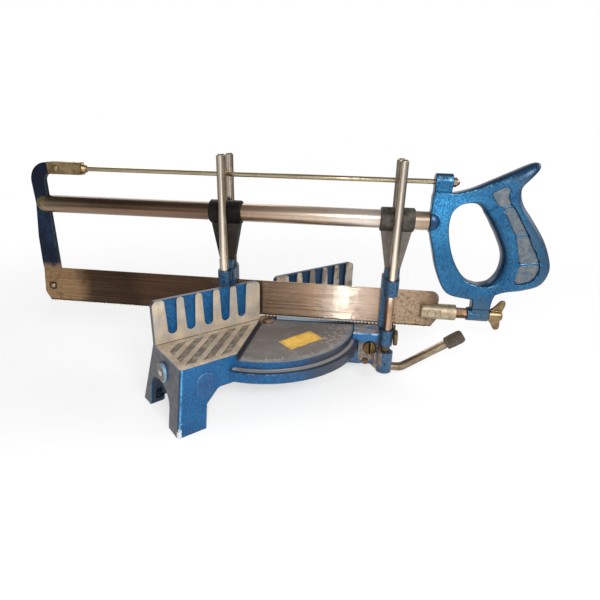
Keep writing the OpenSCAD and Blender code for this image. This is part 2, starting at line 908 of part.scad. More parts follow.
module swing_arm() {
  color(blue) at_mitre()
    difference() {
      arm_body();
      translate([0, 0, arm_z - over])
        cylinder(r = bolt_d / 2 + run_gap + bush_wall + press_gap, h = pivot_boss_h + 2 * over);
      translate([0, 0, post_z]) post_places() cylinder(r = post_r + press_gap, h = socket_h + over);
      beam_channel();
      lever_slot();
      along_y(lever_s, -big / 2, lever_z) cylinder(d = lever_screw_d + 2 * press_gap, h = big);
      for (k = [0, 1]) mirror([0, k, 0])
        along_y(lever_s, cheek_half, lever_z) cylinder(d = lever_face_d, h = brow_half - cheek_half + over);
      translate([head_s - over, -kerf_w / 2, head_top_z - kerf_d])
        cube([head_l + 2 * over, kerf_w, kerf_d + over]);
      spring_pocket();
      arm_screw_cut();
      post_screw_cut();
    }
}

module pivot_bush() {
  color(brass) at_mitre() translate([0, 0, arm_z])
    tube_ring(bolt_d / 2 + run_gap + bush_wall, bolt_d / 2 + run_gap, pivot_boss_h);
}

module post(s, y) {
  color(steel) at_mitre() translate([s, y, post_z]) {
    cylinder(r = post_r, h = post_top_z - post_z - post_chamfer);
    translate([0, 0, post_top_z - post_z - post_chamfer])
      cylinder(r1 = post_r, r2 = post_r - post_chamfer, h = post_chamfer);
  }
}

module post_front_near() { post(front_post_s, -post_y); }
module post_front_far() { post(front_post_s, post_y); }
module post_rear_near() { post(-rear_post_s, -post_y); }
module post_rear_far() { post(-rear_post_s, post_y); }

module post_screw_shape(d, l) {
  for (s = [front_post_s, -rear_post_s])
    for (k = [0, 1]) mirror([0, k, 0])
      along_y(s, post_y + post_r + press_gap, socket_z + socket_h / 2) cylinder(d = d, h = l);
}

module post_screw_cut() {
  post_screw_shape(post_screw_d + 2 * press_gap, post_screw_l + over);
}

module post_screws() {
  color(bare) at_mitre()
    difference() {
      post_screw_shape(post_screw_d, post_screw_l - post_screw_sunk);
      for (s = [front_post_s, -rear_post_s])
        for (k = [0, 1]) mirror([0, k, 0])
          translate([s - screw_slot_w / 2, post_y + socket_d / 2 - post_screw_sunk - screw_slot_d,
                     socket_z])
            cube([screw_slot_w, socket_d, socket_h]);
    }
}

// Collars clamped on the rear posts, under the rear carriage
module rear_stops() {
  color(blue) at_mitre()
    difference() {
      translate([0, 0, stop_z]) post_places([-rear_post_s])
        tube_ring(stop_d / 2, post_r + press_gap, stop_h);
      rear_stop_screw_shape(thumb_shank_d + 2 * press_gap, stop_d / 2 - post_r + over);
    }
}

module rear_stop_screw_shape(d, l) {
  for (y = [-post_y, post_y])
    along_x(-rear_post_s - post_r - press_gap, y, thumb_z) mirror([0, 0, 1]) cylinder(d = d, h = l);
}

module rear_stop_screws() {
  color(steel) at_mitre()
    rear_stop_screw_shape(thumb_shank_d, stop_d / 2 - post_r - move_gap);
}

// Angle lever
module lever_screw() {
  y0 = -cheek_half - lever_head_t;
  color(brass) at_mitre()
    difference() {
      union() {
        along_y(lever_s, -cheek_half, lever_z) cylinder(d = lever_screw_d, h = 2 * cheek_half);
        along_y(lever_s, y0, lever_z)
          cylinder(d1 = lever_head_d - 2 * lever_head_edge, d2 = lever_head_d, h = lever_head_edge);
        along_y(lever_s, y0 + lever_head_edge, lever_z)
          cylinder(d = lever_head_d, h = lever_head_t - lever_head_edge);
      }
      translate([lever_s - driver_slot_w / 2, y0 - over, lever_z - big / 2])
        cube([driver_slot_w, driver_slot_d + over, big]);
    }
}

module arm_screw_cut() {
  along_y(arm_screw_s, -cheek_half - over, arm_screw_z)
    cylinder(d = arm_screw_d + 2 * press_gap, h = arm_screw_l + 2 * over);
}

module arm_screw() {
  color(bare) at_mitre() {
    along_y(arm_screw_s, -cheek_half, arm_screw_z) cylinder(d = arm_screw_d, h = arm_screw_l);
    along_y(arm_screw_s, -cheek_half - arm_screw_head_t, arm_screw_z) hex(arm_screw_flats, arm_screw_head_t);
  }
}

// Torsion spring coiled on the lever screw, between the pawl and the arm's far cheek
module pawl_spring() {
  color(steel) at_mitre()
    along_y(lever_s, spring_y, lever_z) coil(spring_r, spring_wire / 2, spring_turns, spring_pitch);
}

module spring_pocket() {
  along_y(lever_s, 0, lever_z)
    cylinder(r = spring_r + spring_wire / 2 + move_gap, h = spring_end_y + spring_play);
}

// One unbroken round wire wound as a helix with flat ends
module coil(r, w, turns, pitch) {
  rings = 24;
  sides = 6;
  n = turns * rings;
  pts = [for (i = [0:n]) for (k = [0:sides - 1])
    let (a = 360 * i / rings, b = 360 * k / sides, q = r + w * cos(b))
      [q * cos(a), q * sin(a), pitch * i / rings + w * sin(b)]];
  faces = concat(
    [for (i = [0:n - 1]) for (k = [0:sides - 1]) let (k2 = (k + 1) % sides)
      [i * sides + k, i * sides + k2, (i + 1) * sides + k]],
    [for (i = [0:n - 1]) for (k = [0:sides - 1]) let (k2 = (k + 1) % sides)
      [i * sides + k2, (i + 1) * sides + k2, (i + 1) * sides + k]],
    [[for (k = [sides - 1:-1:0]) k], [for (k = [0:sides - 1]) n * sides + k]]
  );
  polyhedron(pts, faces);
}

module pawl_leg() {
  h = lever_tongue_h / 2;
  polygon([
    [lever_s - pawl_in, lever_z], [lever_s + lever_hub_r - pawl_edge, lever_z - pawl_edge],
    [head_end_s - pawl_clear, arm_z + pawl_up], [lever_rod_s + pawl_lap, lever_rod_z + h],
    [lever_rod_s + lever_tongue_l, lever_rod_z + h], [lever_rod_s + lever_tongue_l, lever_rod_z - h],
    [lever_rod_s - pawl_edge, lever_rod_z - h], [lever_s + pawl_edge, lever_rod_z + pawl_chin]
  ]);
}

module pawl_tooth() {
  s0 = tooth_s - tooth_w / 2;
  s1 = tooth_s + tooth_w / 2;
  top = rim_z - move_gap;
  polygon([
    [lever_s, lever_z + tooth_cover], [lever_s, lever_z - tooth_root], [s0, lever_z - tooth_heel],
    [s0, top], [s1, top], [s1, lever_z - tooth_neck], [lever_s - lever_hub_r, lever_z - tooth_crown]
  ]);
}

module lever_pawl() {
  color(bare) at_mitre()
    difference() {
      union() {
        along_y(lever_s, -lever_half, lever_z) cylinder(r = lever_hub_r, h = 2 * lever_half);
        upright(-lever_half, lever_half) pawl_leg();
        upright(-lever_half, lever_half) pawl_tooth();
      }
      along_y(lever_s, -lever_half - over, lever_z)
        cylinder(d = lever_screw_d + 2 * run_gap, h = 2 * (lever_half + over));
    }
}

// Lever rod: a slotted level part, a round bend and a raised part
module on_raised_part() {
  translate([lever_knee_s, 0, lever_rod_z]) rotate([0, 90 - lever_rise, 0])
    translate([0, 0, lever_tangent]) children();
}

module lever_bend() {
  wedge = 4 * lever_bend_r;
  intersection() {
    rotate_extrude() translate([lever_bend_r, 0]) circle(d = lever_d + seat_gap);
    translate([0, 0, -lever_d]) linear_extrude(2 * lever_d)
      polygon([[0, 0], [wedge, 0], [wedge * cos(lever_rise), wedge * sin(lever_rise)]]);
  }
}

module lever_rod() {
  w = lever_half + press_gap;
  color(steel) at_mitre() {
    difference() {
      along_x(lever_rod_s, 0, lever_rod_z) cylinder(d = lever_d, h = lever_turn_s - lever_rod_s + over);
      translate([lever_rod_s - over, -w, lever_rod_z - lever_d])
        cube([lever_tongue_l + over + press_gap, 2 * w, 2 * lever_d]);
    }
    translate([lever_turn_s, 0, lever_rod_z + lever_bend_r]) rotate([90, 0, 0]) rotate([0, 0, -90])
      lever_bend();
    on_raised_part() translate([0, 0, -over]) cylinder(d = lever_d, h = lever_l - lever_tangent + over);
  }
}

module lever_tip() {
  l = lever_l - lever_tangent;
  color(black) at_mitre()
    difference() {
      on_raised_part() translate([0, 0, l + tip_end - tip_l]) {
        cylinder(d1 = tip_d - tip_edge, d2 = tip_d, h = tip_edge);
        translate([0, 0, tip_edge]) cylinder(d = tip_d, h = tip_l - 2 * tip_edge);
        translate([0, 0, tip_l - tip_edge]) cylinder(d1 = tip_d, d2 = tip_d - tip_round, h = tip_edge);
      }
      on_raised_part() cylinder(d = lever_d + 2 * press_gap, h = l + press_gap);
    }
}

// Depth stops on the front posts, each with a thumbscrew
module depth_stop(y) {
  color(blue) at_mitre()
    difference() {
      translate([front_post_s, y, stop_z]) tube_ring(stop_d / 2, post_r + run_gap, stop_h);
      along_x(front_post_s, y, thumb_z) cylinder(d = thumb_shank_d + 2 * run_gap, h = stop_d);
    }
}

module thumbscrew_head() {
  difference() {
    union() {
      cylinder(d1 = thumb_d - 2 * thumb_edge, d2 = thumb_d, h = thumb_edge);
      translate([0, 0, thumb_edge]) cylinder(d = thumb_d, h = thumb_t - 2 * thumb_edge);
      translate([0, 0, thumb_t - thumb_edge])
        cylinder(d1 = thumb_d, d2 = thumb_d - 2 * thumb_edge, h = thumb_edge);
    }
    for (i = [0:knurl_n - 1])
      rotate(i * 360 / knurl_n) translate([thumb_d / 2 + knurl_out, 0, -over])
        cylinder(d = knurl_d, h = thumb_t + 2 * over);
  }
}

module thumbscrew(y) {
  tip_s = front_post_s + post_r + seat_gap;
  head_s0 = front_post_s + stop_d / 2 + thumb_stand;
  color(brass) at_mitre() {
    along_x(tip_s, y, thumb_z) cylinder(d = thumb_shank_d, h = head_s0 - tip_s + over);
    along_x(head_s0, y, thumb_z) thumbscrew_head();
  }
}

module stop_near() { depth_stop(-post_y); }
module stop_far() { depth_stop(post_y); }
module thumbscrew_near() { thumbscrew(-post_y); }
module thumbscrew_far() { thumbscrew(post_y); }

// Carriages: two collars, a bridge with a web slot and two blade fingers
module carriage(side) {
  difference() {
    union() {
      translate([0, 0, collar_z]) post_places([0]) cylinder(d = collar_d, h = collar_h);
      translate([-block_half_s, -post_y, bridge_z])
        cube([2 * block_half_s, post_spread, collar_top_z - bridge_z]);
      translate([-block_half_s, -block_half_y, bridge_z])
        cube([2 * block_half_s, 2 * block_half_y, block_top_z - bridge_z]);
      for (k = [0, 1]) mirror([0, k, 0])
        translate([-finger_front_s, guide_slot_half, finger_z])
          cube([finger_front_s + finger_back_s, finger_half - guide_slot_half, collar_top_z - finger_z]);
    }
    post_places([0]) translate([0, 0, finger_z - over]) cylinder(r = post_r + run_gap, h = big);
    translate([-block_half_s - over, -web_t / 2 - press_gap, web_z - press_gap])
      cube([2 * (block_half_s + over), web_t + 2 * press_gap, big]);
    hold_screw_shape(side, hold_screw_d + 2 * press_gap, hold_head_s - hold_screw_s + over);
  }
}

module hold_screw_shape(side, d, l) {
  along_x(hold_screw_s, side * post_y, collar_mid_z) cylinder(d = d, h = l);
}

module hold_screw(side) {
  difference() {
    union() {
      hold_screw_shape(side, hold_screw_d, hold_head_s - hold_screw_s + hold_head_t);
      along_x(hold_head_s, side * post_y, collar_mid_z) {
        cylinder(d = hold_head_d, h = hold_head_t);
        translate([0, 0, hold_head_t])
          cylinder(d1 = hold_head_d, d2 = hold_head_d - 2 * hold_head_edge, h = hold_head_edge);
      }
    }
    translate([hold_head_s + hold_head_t + hold_head_edge - hold_slot_d, side * post_y - hold_head_d,
               collar_mid_z - hold_slot_w / 2])
      cube([hold_slot_d + over, 2 * hold_head_d, hold_slot_w]);
  }
}

module web() {
  z1 = tube_z - sleeve_d / 2 + over;
  difference() {
    upright(-web_t / 2, web_t / 2)
      polygon([
        [-web_bottom_w / 2, web_z], [web_bottom_w / 2, web_z],
        [web_top_w / 2, z1], [-web_top_w / 2, z1]
      ]);
    along_x(-big / 2, 0, tube_z) cylinder(d = sleeve_d + 2 * press_gap, h = big);
  }
}

module sleeve() {
  d0 = sleeve_d - 2 * sleeve_edge;
  l = sleeve_l - 2 * sleeve_edge;
  difference() {
    union() {
      along_x(-sleeve_l / 2, 0, tube_z) cylinder(d1 = d0, d2 = sleeve_d, h = sleeve_edge);
      along_x(-l / 2, 0, tube_z) cylinder(d = sleeve_d, h = l);
      along_x(l / 2, 0, tube_z) cylinder(d1 = sleeve_d, d2 = d0, h = sleeve_edge);
    }
    along_x(-sleeve_l, 0, tube_z) cylinder(r = tube_r + run_gap, h = 2 * sleeve_l);
    post_places([0]) translate([0, 0, tube_z - sleeve_d]) cylinder(r = post_r + move_gap, h = 2 * sleeve_d);
  }
}

module at_front() { at_mitre() translate([front_post_s, 0, 0]) children(); }
module at_rear() { at_mitre() translate([-rear_post_s, 0, 0]) rotate([0, 0, 180]) children(); }

module front_carriage() { color(blue) at_front() carriage(1); }
module front_web() { color(graphite) at_front() web(); }
module front_sleeve() { color(black) at_front() sleeve(); }
module front_hold_screw() { color(bare) at_front() hold_screw(1); }
module rear_carriage() { color(blue) at_rear() carriage(-1); }
module rear_web() { color(graphite) at_rear() web(); }
module rear_sleeve() { color(black) at_rear() sleeve(); }
module rear_hold_screw() { color(bare) at_rear() hold_screw(-1); }

// Saw frame
module spine_tube() {
  color(steel) at_mitre()
    along_x(plug_s, 0, tube_z) tube_ring(tube_r, tube_r - tube_wall, tube_end_s - plug_s);
}

module tube_plug() {
  slot = end_arm_t + 2 * press_gap;
  color(bare) at_mitre()
    difference() {
      union() {
        along_x(plug_s, 0, tube_z) cylinder(r = spigot_r, h = plug_l);
        along_x(plug_s - plug_rim, 0, tube_z) cylinder(r = plug_r, h = plug_rim);
        intersection() {
          translate([plug_s - plug_rim, 0, tube_z]) sphere(plug_r);
          along_x(plug_s - plug_rim - plug_r, 0, tube_z) cylinder(r = plug_r, h = plug_r);
        }
      }
      translate([arm_out_s, -slot / 2, tube_z - tube_d]) cube([seat_s - arm_out_s, slot, 2 * tube_d]);
    }
}

// End arm: straight shank, bend over to the clevis, lower end cut to half thickness for the blade
module end_arm_outline() {
  top = rod_z + arm_eye_r;
  low = pin_z - pin_edge;
  polygon(concat(
    [[arm_out_s + arm_tip_in, low + arm_tip_cut], [arm_out_s + arm_tip_cut, low]],
    [[arm_in_s - arm_tip_cut, low], [arm_in_s, low + arm_tip_cut]],
    arc([arm_in_s + arm_fillet_r, rod_z - arm_eye_r - arm_fillet_r], arm_fillet_r, 180, 90),
    arc([rivet_s, rod_z], arm_eye_r, -90, 90),
    arc([arm_out_s + arm_bend_r + arm_lean_bend, top - arm_bend_r], arm_bend_r, 90, 180),
    [[arm_out_s + arm_lean_top, tube_z], [arm_out_s + arm_lean_mid, tube_z - arm_bow_mid]],
    [[arm_out_s, tube_z - arm_bow_end]]
  ));
}

module end_arm() {
  step_z = blade_z + blade_w + seat_gap;
  low = pin_z - pin_edge - over;
  color(navy) at_mitre()
    difference() {
      upright(-end_arm_t / 2, end_arm_t / 2) end_arm_outline();
      translate([arm_out_s - over, -end_arm_t, low])
        cube([end_arm_w + 2 * over, end_arm_t + blade_t / 2, step_z - low]);
      along_y(left_pin_s, -big / 2, pin_z) cylinder(d = blade_pin_d + 2 * press_gap, h = big);
      along_y(rivet_s, -big / 2, rod_z) cylinder(d = rivet_d + 2 * press_gap, h = big);
    }
}

module blade_outline() {
  s0 = left_pin_s - blade_end_l;
  s1 = pin_s + blade_end_r;
  top = blade_z + blade_w;
  root = blade_z + tooth_d;
  teeth_s0 = s0 + blade_heel;
  teeth_n = floor((s1 - blade_heel - teeth_s0) / tooth_pitch);
  polygon(concat(
    [[s0, blade_z + heel_rise], [s0 + heel_cut, top]],
    arc([s1 - blade_corner_r, top - blade_corner_r], blade_corner_r, 90, 0),
    [[s1, blade_z + toe_rise], [s1 - toe_cut, root]],
    [for (i = [teeth_n:-1:0]) each [
      [teeth_s0 + i * tooth_pitch, root], [teeth_s0 + (i - 0.5) * tooth_pitch, blade_z]]],
    [[s0 + toe_cut, root]]
  ));
}

module blade() {
  color(brown) at_mitre()
    difference() {
      upright(-blade_t / 2, blade_t / 2) blade_outline();
      for (s = [left_pin_s, pin_s])
        along_y(s, -big / 2, pin_z) cylinder(d = blade_pin_d + 2 * press_gap, h = big);
    }
}

module blade_pin() {
  y0 = -blade_t / 2 - pin_out;
  y1 = end_arm_t / 2;
  color(bare) at_mitre() {
    along_y(left_pin_s, y0, pin_z) cylinder(d = blade_pin_d, h = y1 - y0);
    along_y(left_pin_s, y1, pin_z)
      cylinder(d1 = pin_head_d, d2 = pin_head_d - 2 * pin_head_edge, h = pin_head_t);
  }
}

module clevis() {
  r = clevis_h / 2;
  e = clevis_edge;
  color(zinc) at_mitre()
    difference() {
      union() {
        upright(-clevis_half_y, clevis_half_y) {
          translate([clevis_s, rod_z - r + e]) square([2 * e, 2 * (r - e)]);
          translate([clevis_s + e, rod_z - r])
            square([clevis_nose_s + clevis_lap - clevis_s - e, 2 * r]);
        }
        along_x(clevis_nose_s, 0, rod_z) cylinder(r = clevis_half_y, h = clevis_ring);
        along_x(clevis_nose_s + clevis_ring, 0, rod_z)
          cylinder(r1 = clevis_half_y, r2 = rod_d / 2 + e, h = clevis_tip);
      }
      translate([clevis_s - over, -end_arm_t / 2 - press_gap, rod_z - clevis_h])
        cube([clevis_back + clevis_slot + over, end_arm_t + 2 * press_gap, 2 * clevis_h]);
      along_y(rivet_s, -big / 2, rod_z) cylinder(d = rivet_d + 2 * press_gap, h = big);
      along_x(clevis_end_s - rod_in, 0, rod_z) cylinder(d = rod_d + 2 * press_gap, h = 2 * rod_in);
    }
}

module clevis_rivet() {
  y = clevis_half_y;
  color(zinc) at_mitre() {
    along_y(rivet_s, -y, rod_z) cylinder(d = rivet_d, h = 2 * y);
    for (k = [0, 1]) mirror([0, k, 0])
      along_y(rivet_s, y, rod_z) cylinder(d1 = rivet_head_d, d2 = rivet_d, h = rivet_head_t);
  }
}

module tension_rod() {
  s0 = clevis_end_s - rod_in + seat_gap;
  color(zinc) at_mitre()
    along_x(s0, 0, rod_z) cylinder(d = rod_d, h = rod_end_s - s0);
}

module rod_nut() {
  color(zinc) at_mitre()
    difference() {
      union() {
        along_x(nut_s, 0, rod_z) hex(rod_nut_flats, rod_nut_h);
        along_x(nut_s + rod_nut_h - rod_cap_in, 0, rod_z) rotate_extrude()
          intersection() {
            circle(rod_cap_r);
            square(rod_cap_r);
          }
      }
      along_x(nut_s - over, 0, rod_z)
        cylinder(d = rod_d + 2 * press_gap, h = rod_end_s - nut_s + over + press_gap);
    }
}

// Handle
function between(p0, p1, p2, p3, t) =
  0.5 * (2 * p1 + (p2 - p0) * t + (2 * p0 - 5 * p1 + 4 * p2 - p3) * t * t
         + (3 * p1 - p0 - 3 * p2 + p3) * t * t * t);
function row_at(rows, i, t) =
  let (n = len(rows)) between(rows[(i + n - 1) % n], rows[i], rows[(i + 1) % n], rows[(i + 2) % n], t);
function power(v, e) = sign(v) * pow(abs(v), e);
function section(row) = [
  for (k = [0:handle_sides - 1])
    let (a = 360 * k / handle_sides, c = power(cos(a), 2 / row[5]), q = power(sin(a), 2 / row[5]))
      [(row[0] + row[2]) / 2 + (row[2] - row[0]) / 2 * c, row[4] * q,
       (row[1] + row[3]) / 2 + (row[3] - row[1]) / 2 * c]
];

module handle_ring() {
  n = len(handle_rows) * handle_steps;
  m = handle_sides;
  pts = [for (i = [0:len(handle_rows) - 1]) for (j = [0:handle_steps - 1])
    each section(row_at(handle_rows, i, j / handle_steps))];
  faces = [for (i = [0:n - 1]) for (k = [0:m - 1])
    let (i2 = (i + 1) % n, k2 = (k + 1) % m) each [
      [i * m + k, i * m + k2, i2 * m + k2], [i * m + k, i2 * m + k2, i2 * m + k]]];
  polyhedron(pts, faces);
}

module at_handle() {
  at_mitre() translate([handle_s, 0, tube_z]) children();
}

module panel_shapes(grow) {
  for (p = panels)
    offset(delta = grow) polygon(p);
}

// Cup for the tube, barrel for the tension rod, neck with the barrel of the tension screw
module handle_bosses() {
  neck_x = neck_s - handle_s;
  neck_z = pin_z - tube_z;
  rotate([0, 90, 0]) cylinder(r = tube_cup_r, h = tube_cup_l + over);
  translate([tube_cup_l, 0, 0])
    intersection() {
      sphere(tube_cup_r);
      rotate([0, 90, 0]) cylinder(r = tube_d, h = tube_d);
    }
  translate([rod_barrel_s, 0, rod_rise]) rotate([0, 90, 0]) cylinder(d = rod_barrel_d, h = rod_barrel_l);
  translate([rod_barrel_s, -front_half_t, handle_top - rod_seat_h])
    cube([rod_barrel_l, 2 * front_half_t, rod_rise - handle_top + rod_seat_h]);
  translate([neck_x + neck_step, -front_half_t + neck_in, neck_z])
    cube([neck_l - neck_step, 2 * (front_half_t - neck_in), handle_bottom + neck_up - neck_z]);
  translate([neck_x, 0, neck_z]) rotate([0, 90, 0]) cylinder(d = screw_barrel_d, h = neck_l);
}

module handle() {
  color(blue)
    at_handle()
      difference() {
        union() {
          handle_ring();
          handle_bosses();
        }
        translate([-over, 0, 0]) rotate([0, 90, 0]) cylinder(r = spigot_r + press_gap, h = spigot_l + over);
        translate([0, 0, rod_rise]) rotate([0, 90, 0])
          cylinder(d = rod_d + 2 * press_gap, h = rod_barrel_s + rod_barrel_l + over);
        translate([neck_s - handle_s - over, 0, pin_z - tube_z]) rotate([0, 90, 0])
          cylinder(d = screw_d + 2 * press_gap, h = neck_l + 2 * over);
        for (k = [0, 1]) mirror([0, k, 0])
          upright(panel_floor - press_gap, 2 * grip_half_t) panel_shapes(panel_gap);
      }
}

module grip_panels() {
  color(bare) at_handle()
    for (k = [0, 1]) mirror([0, k, 0])
      upright(panel_floor, panel_floor + panel_t) panel_shapes(0);
}

// Blade tension: slotted block, its pin, the hexagonal screw and the wing nut
module blade_block() {
  color(bare) at_mitre()
    difference() {
      along_x(block_s, 0, pin_z) cylinder(d = block_d, h = block_l);
      translate([block_s - over, -blade_t / 2 - press_gap, pin_z - block_d])
        cube([block_back + block_slot + over, blade_t + 2 * press_gap, 2 * block_d]);
      along_y(pin_s, -big / 2, pin_z) cylinder(d = blade_pin_d + 2 * press_gap, h = big);
      along_x(block_s + block_l - block_screw_l, 0, pin_z)
        cylinder(d = screw_d + 2 * press_gap, h = block_screw_l + over);
      for (k = [0, 1]) mirror([0, k, 0])
        translate([block_s - over, block_flat_y, pin_z - block_d])
          cube([block_flat_l + over, block_d, 2 * block_d]);
    }
}

module block_pin() {
  color(bare) at_mitre() {
    along_y(pin_s, -block_flat_y, pin_z) cylinder(d = blade_pin_d, h = 2 * block_flat_y);
    for (k = [0, 1]) mirror([0, k, 0])
      along_y(pin_s, block_flat_y, pin_z)
        cylinder(d1 = block_head_d, d2 = block_head_d - 2 * block_head_edge, h = block_head_t);
  }
}

module tension_screw() {
  s1 = block_s + block_l;
  s0 = s1 - block_screw_l + seat_gap;
  color(brown) at_mitre() {
    along_x(s0, 0, pin_z) cylinder(d = screw_d, h = screw_end_s - s0);
    along_x(s1, 0, pin_z) rotate(30) hex(hex_flats, neck_s - s1);
  }
}

module wing_outline() {
  polygon(concat(
    [[wing_in, wing_root], [wing_in, wing_hub_d / 2]],
    arc([wing_l - wing_tip_r, wing_span / 2 - wing_tip_r], wing_tip_r, wing_tip_turn, 0),
    [[wing_hub_l, wing_hub_d / 2 - wing_hub_slope], [wing_hub_l - wing_hub_slope, wing_root]]
  ));
}

module wing_nut() {
  color(brass) at_mitre()
    difference() {
      union() {
        along_x(wing_s, 0, pin_z)
          cylinder(d1 = wing_hub_d + wing_hub_slope, d2 = wing_hub_d - wing_hub_slope, h = wing_hub_l);
        translate([wing_s, 0, pin_z]) rotate([wing_turn, 0, 0])
          upright(-wing_t / 2, wing_t / 2)
            for (k = [0, 1]) mirror([0, k]) wing_outline();
      }
      along_x(wing_s - over, 0, pin_z) cylinder(d = screw_d + 2 * run_gap, h = wing_l + 2 * over);
    }
}

base_casting();
pivot_bolt();
pivot_washer();
pivot_nut();
end_screws();
swing_arm();
pivot_bush();
post_front_near();
post_front_far();
post_rear_near();
post_rear_far();
post_screws();
rear_stops();
rear_stop_screws();
lever_screw();
arm_screw();
pawl_spring();
lever_pawl();
lever_rod();
lever_tip();
stop_near();
stop_far();
thumbscrew_near();
thumbscrew_far();
front_carriage();
front_web();
front_sleeve();
front_hold_screw();
rear_carriage();
rear_web();
rear_sleeve();
rear_hold_screw();
spine_tube();
tube_plug();
end_arm();
blade();
blade_pin();
clevis();
clevis_rivet();
tension_rod();
rod_nut();
handle();
grip_panels();
blade_block();
block_pin();
tension_screw();
wing_nut();
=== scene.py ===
import math

import bpy
import numpy as np
from mathutils import Matrix


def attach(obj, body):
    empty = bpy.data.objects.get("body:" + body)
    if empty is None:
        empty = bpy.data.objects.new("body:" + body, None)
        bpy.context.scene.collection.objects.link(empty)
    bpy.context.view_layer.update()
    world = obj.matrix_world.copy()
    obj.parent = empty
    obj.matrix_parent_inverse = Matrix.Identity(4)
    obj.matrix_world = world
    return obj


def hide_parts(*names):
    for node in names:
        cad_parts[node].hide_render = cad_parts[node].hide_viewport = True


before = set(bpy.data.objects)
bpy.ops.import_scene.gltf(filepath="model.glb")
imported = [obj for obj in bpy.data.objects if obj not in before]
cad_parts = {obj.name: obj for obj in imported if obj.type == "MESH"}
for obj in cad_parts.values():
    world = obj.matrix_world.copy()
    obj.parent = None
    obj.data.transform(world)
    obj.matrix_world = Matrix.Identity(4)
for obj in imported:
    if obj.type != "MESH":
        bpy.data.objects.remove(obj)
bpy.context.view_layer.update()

scene = bpy.context.scene
mm = 0.001
diag = math.sqrt(0.5)  # the saw stands at 45 degrees to the fence


def mathMethod(operation, flipped=False):  # a method of Wire that adds one Math node
    def act(self, other=0.0):
        first, second = (other, self) if flipped else (self, other)
        return self.node("ShaderNodeMath", {"operation": operation}, {0: first, 1: second})
    return act


class Wire:
    # one output socket; + - * / < > on it add Math nodes to the same tree
    __add__, __radd__ = mathMethod("ADD"), mathMethod("ADD", True)
    __sub__, __rsub__ = mathMethod("SUBTRACT"), mathMethod("SUBTRACT", True)
    __mul__, __rmul__ = mathMethod("MULTIPLY"), mathMethod("MULTIPLY", True)
    __truediv__, __pow__ = mathMethod("DIVIDE"), mathMethod("POWER")
    __lt__, __gt__ = mathMethod("LESS_THAN"), mathMethod("GREATER_THAN")
    __abs__, most = mathMethod("ABSOLUTE"), mathMethod("MAXIMUM")
    zigzag = mathMethod("PINGPONG")  # up to a span and back down, over and over
    arcTan = mathMethod("ARCTAN2")

    def __init__(self, tree, socket):
        self.tree, self.socket = tree, socket

    def node(self, kind, settings, inputs, out=0):
        made = self.tree.nodes.new(kind)
        for key, value in settings.items():
            if key == "stops":
                ramp = made.color_ramp
                while len(ramp.elements) < len(value):
                    ramp.elements.new(0.5)
                for stop, (place, shade) in zip(ramp.elements, value):
                    stop.position, stop.color = place, shade
            else:
                setattr(made, key, value)
        for key, value in inputs.items():
            if isinstance(value, Wire):
                self.tree.links.new(value.socket, made.inputs[key])
            else:
                made.inputs[key].default_value = value
        return Wire(self.tree, made.outputs[out])

    def vector(self, operation, other, out=0):
        return self.node("ShaderNodeVectorMath", {"operation": operation}, {0: self, 1: other}, out)

    def part(self, axis):
        return self.node("ShaderNodeSeparateXYZ", {}, {0: self}, axis)

    def stretch(self, sizes):
        return self.vector("MULTIPLY", sizes)

    def dot(self, other):
        return self.vector("DOT_PRODUCT", other, "Value")

    def angle(self, other):  # direction of the point (other, self) in degrees
        return self.arcTan(other) * (180.0 / math.pi)

    def rise(self, low, high):  # 0 below low, 1 above high, smooth between
        return self.node("ShaderNodeMapRange", {"interpolation_type": "SMOOTHSTEP"},
                         {"Value": self, "From Min": low, "From Max": high})

    def between(self, low, high):
        return (self > low) * (self < high)

    def blend(self, first, second):  # first where this is 0, second where it is 1
        return self.node("ShaderNodeMix", {"data_type": "RGBA"}, {0: self, 6: first, 7: second}, 2)

    def noise(self, scale, detail, rough):
        inputs = {"Vector": self, "Scale": scale, "Detail": detail, "Roughness": rough}
        return self.node("ShaderNodeTexNoise", {}, inputs, "Fac")

    def patches(self, scale, detail, rough, low, high):  # noise drawn out to soft-edged patches
        return self.noise(scale, detail, rough).rise(low, high)

    def cells(self, scale, feature):
        inputs = {"Vector": self, "Scale": scale}
        return self.node("ShaderNodeTexVoronoi", {"feature": feature}, inputs, "Distance")

    def shades(self, stops):
        return self.node("ShaderNodeValToRGB", {"stops": stops}, {0: self}, "Color")


def rgb(red, green, blue):  # colour as a screen shows it, 0 to 255, to light values
    share = np.array([red, green, blue]) / 255.0
    light = np.where(share < 0.04045, share / 12.92, ((share + 0.055) / 1.055) ** 2.4)
    return (*[float(v) for v in light], 1.0)


def tones(**colours):  # settings that are colours
    return {name: rgb(*colour) for name, colour in colours.items()}


def startFinish(name):
    made = bpy.data.materials.new(name)
    made.use_nodes = True
    tree = made.node_tree
    tree.nodes.clear()
    shader = tree.nodes.new("ShaderNodeBsdfPrincipled")
    out = tree.nodes.new("ShaderNodeOutputMaterial")
    tree.links.new(shader.outputs[0], out.inputs[0])
    spot = tree.nodes.new("ShaderNodeTexCoord")
    return made, shader, Wire(tree, spot.outputs["Object"])


def endFinish(made, shader, **sockets):  # fills sockets of the shader and hands back the material
    for key, value in sockets.items():
        target = shader.inputs[key.replace("_", " ")]
        if isinstance(value, Wire):
            value.tree.links.new(value.socket, target)
        else:
            target.default_value = value
    return made


def coats(shade, look, **masks):  # lays tones of a look over a shade in turn, each where its mask is 1
    for name, mask in masks.items():
        shade = mask.blend(shade, look[name])
    return shade


def softEdge(spot, radius):  # normal rounded over sharp edges, a mask that is 1 on them, plain normal
    soft = spot.node("ShaderNodeBevel", {"samples": 4}, {"Radius": radius * mm})
    flat = spot.node("ShaderNodeNewGeometry", {}, {}, "Normal")
    return soft, (1.0 - soft.dot(flat)).rise(0.02, 0.2), flat


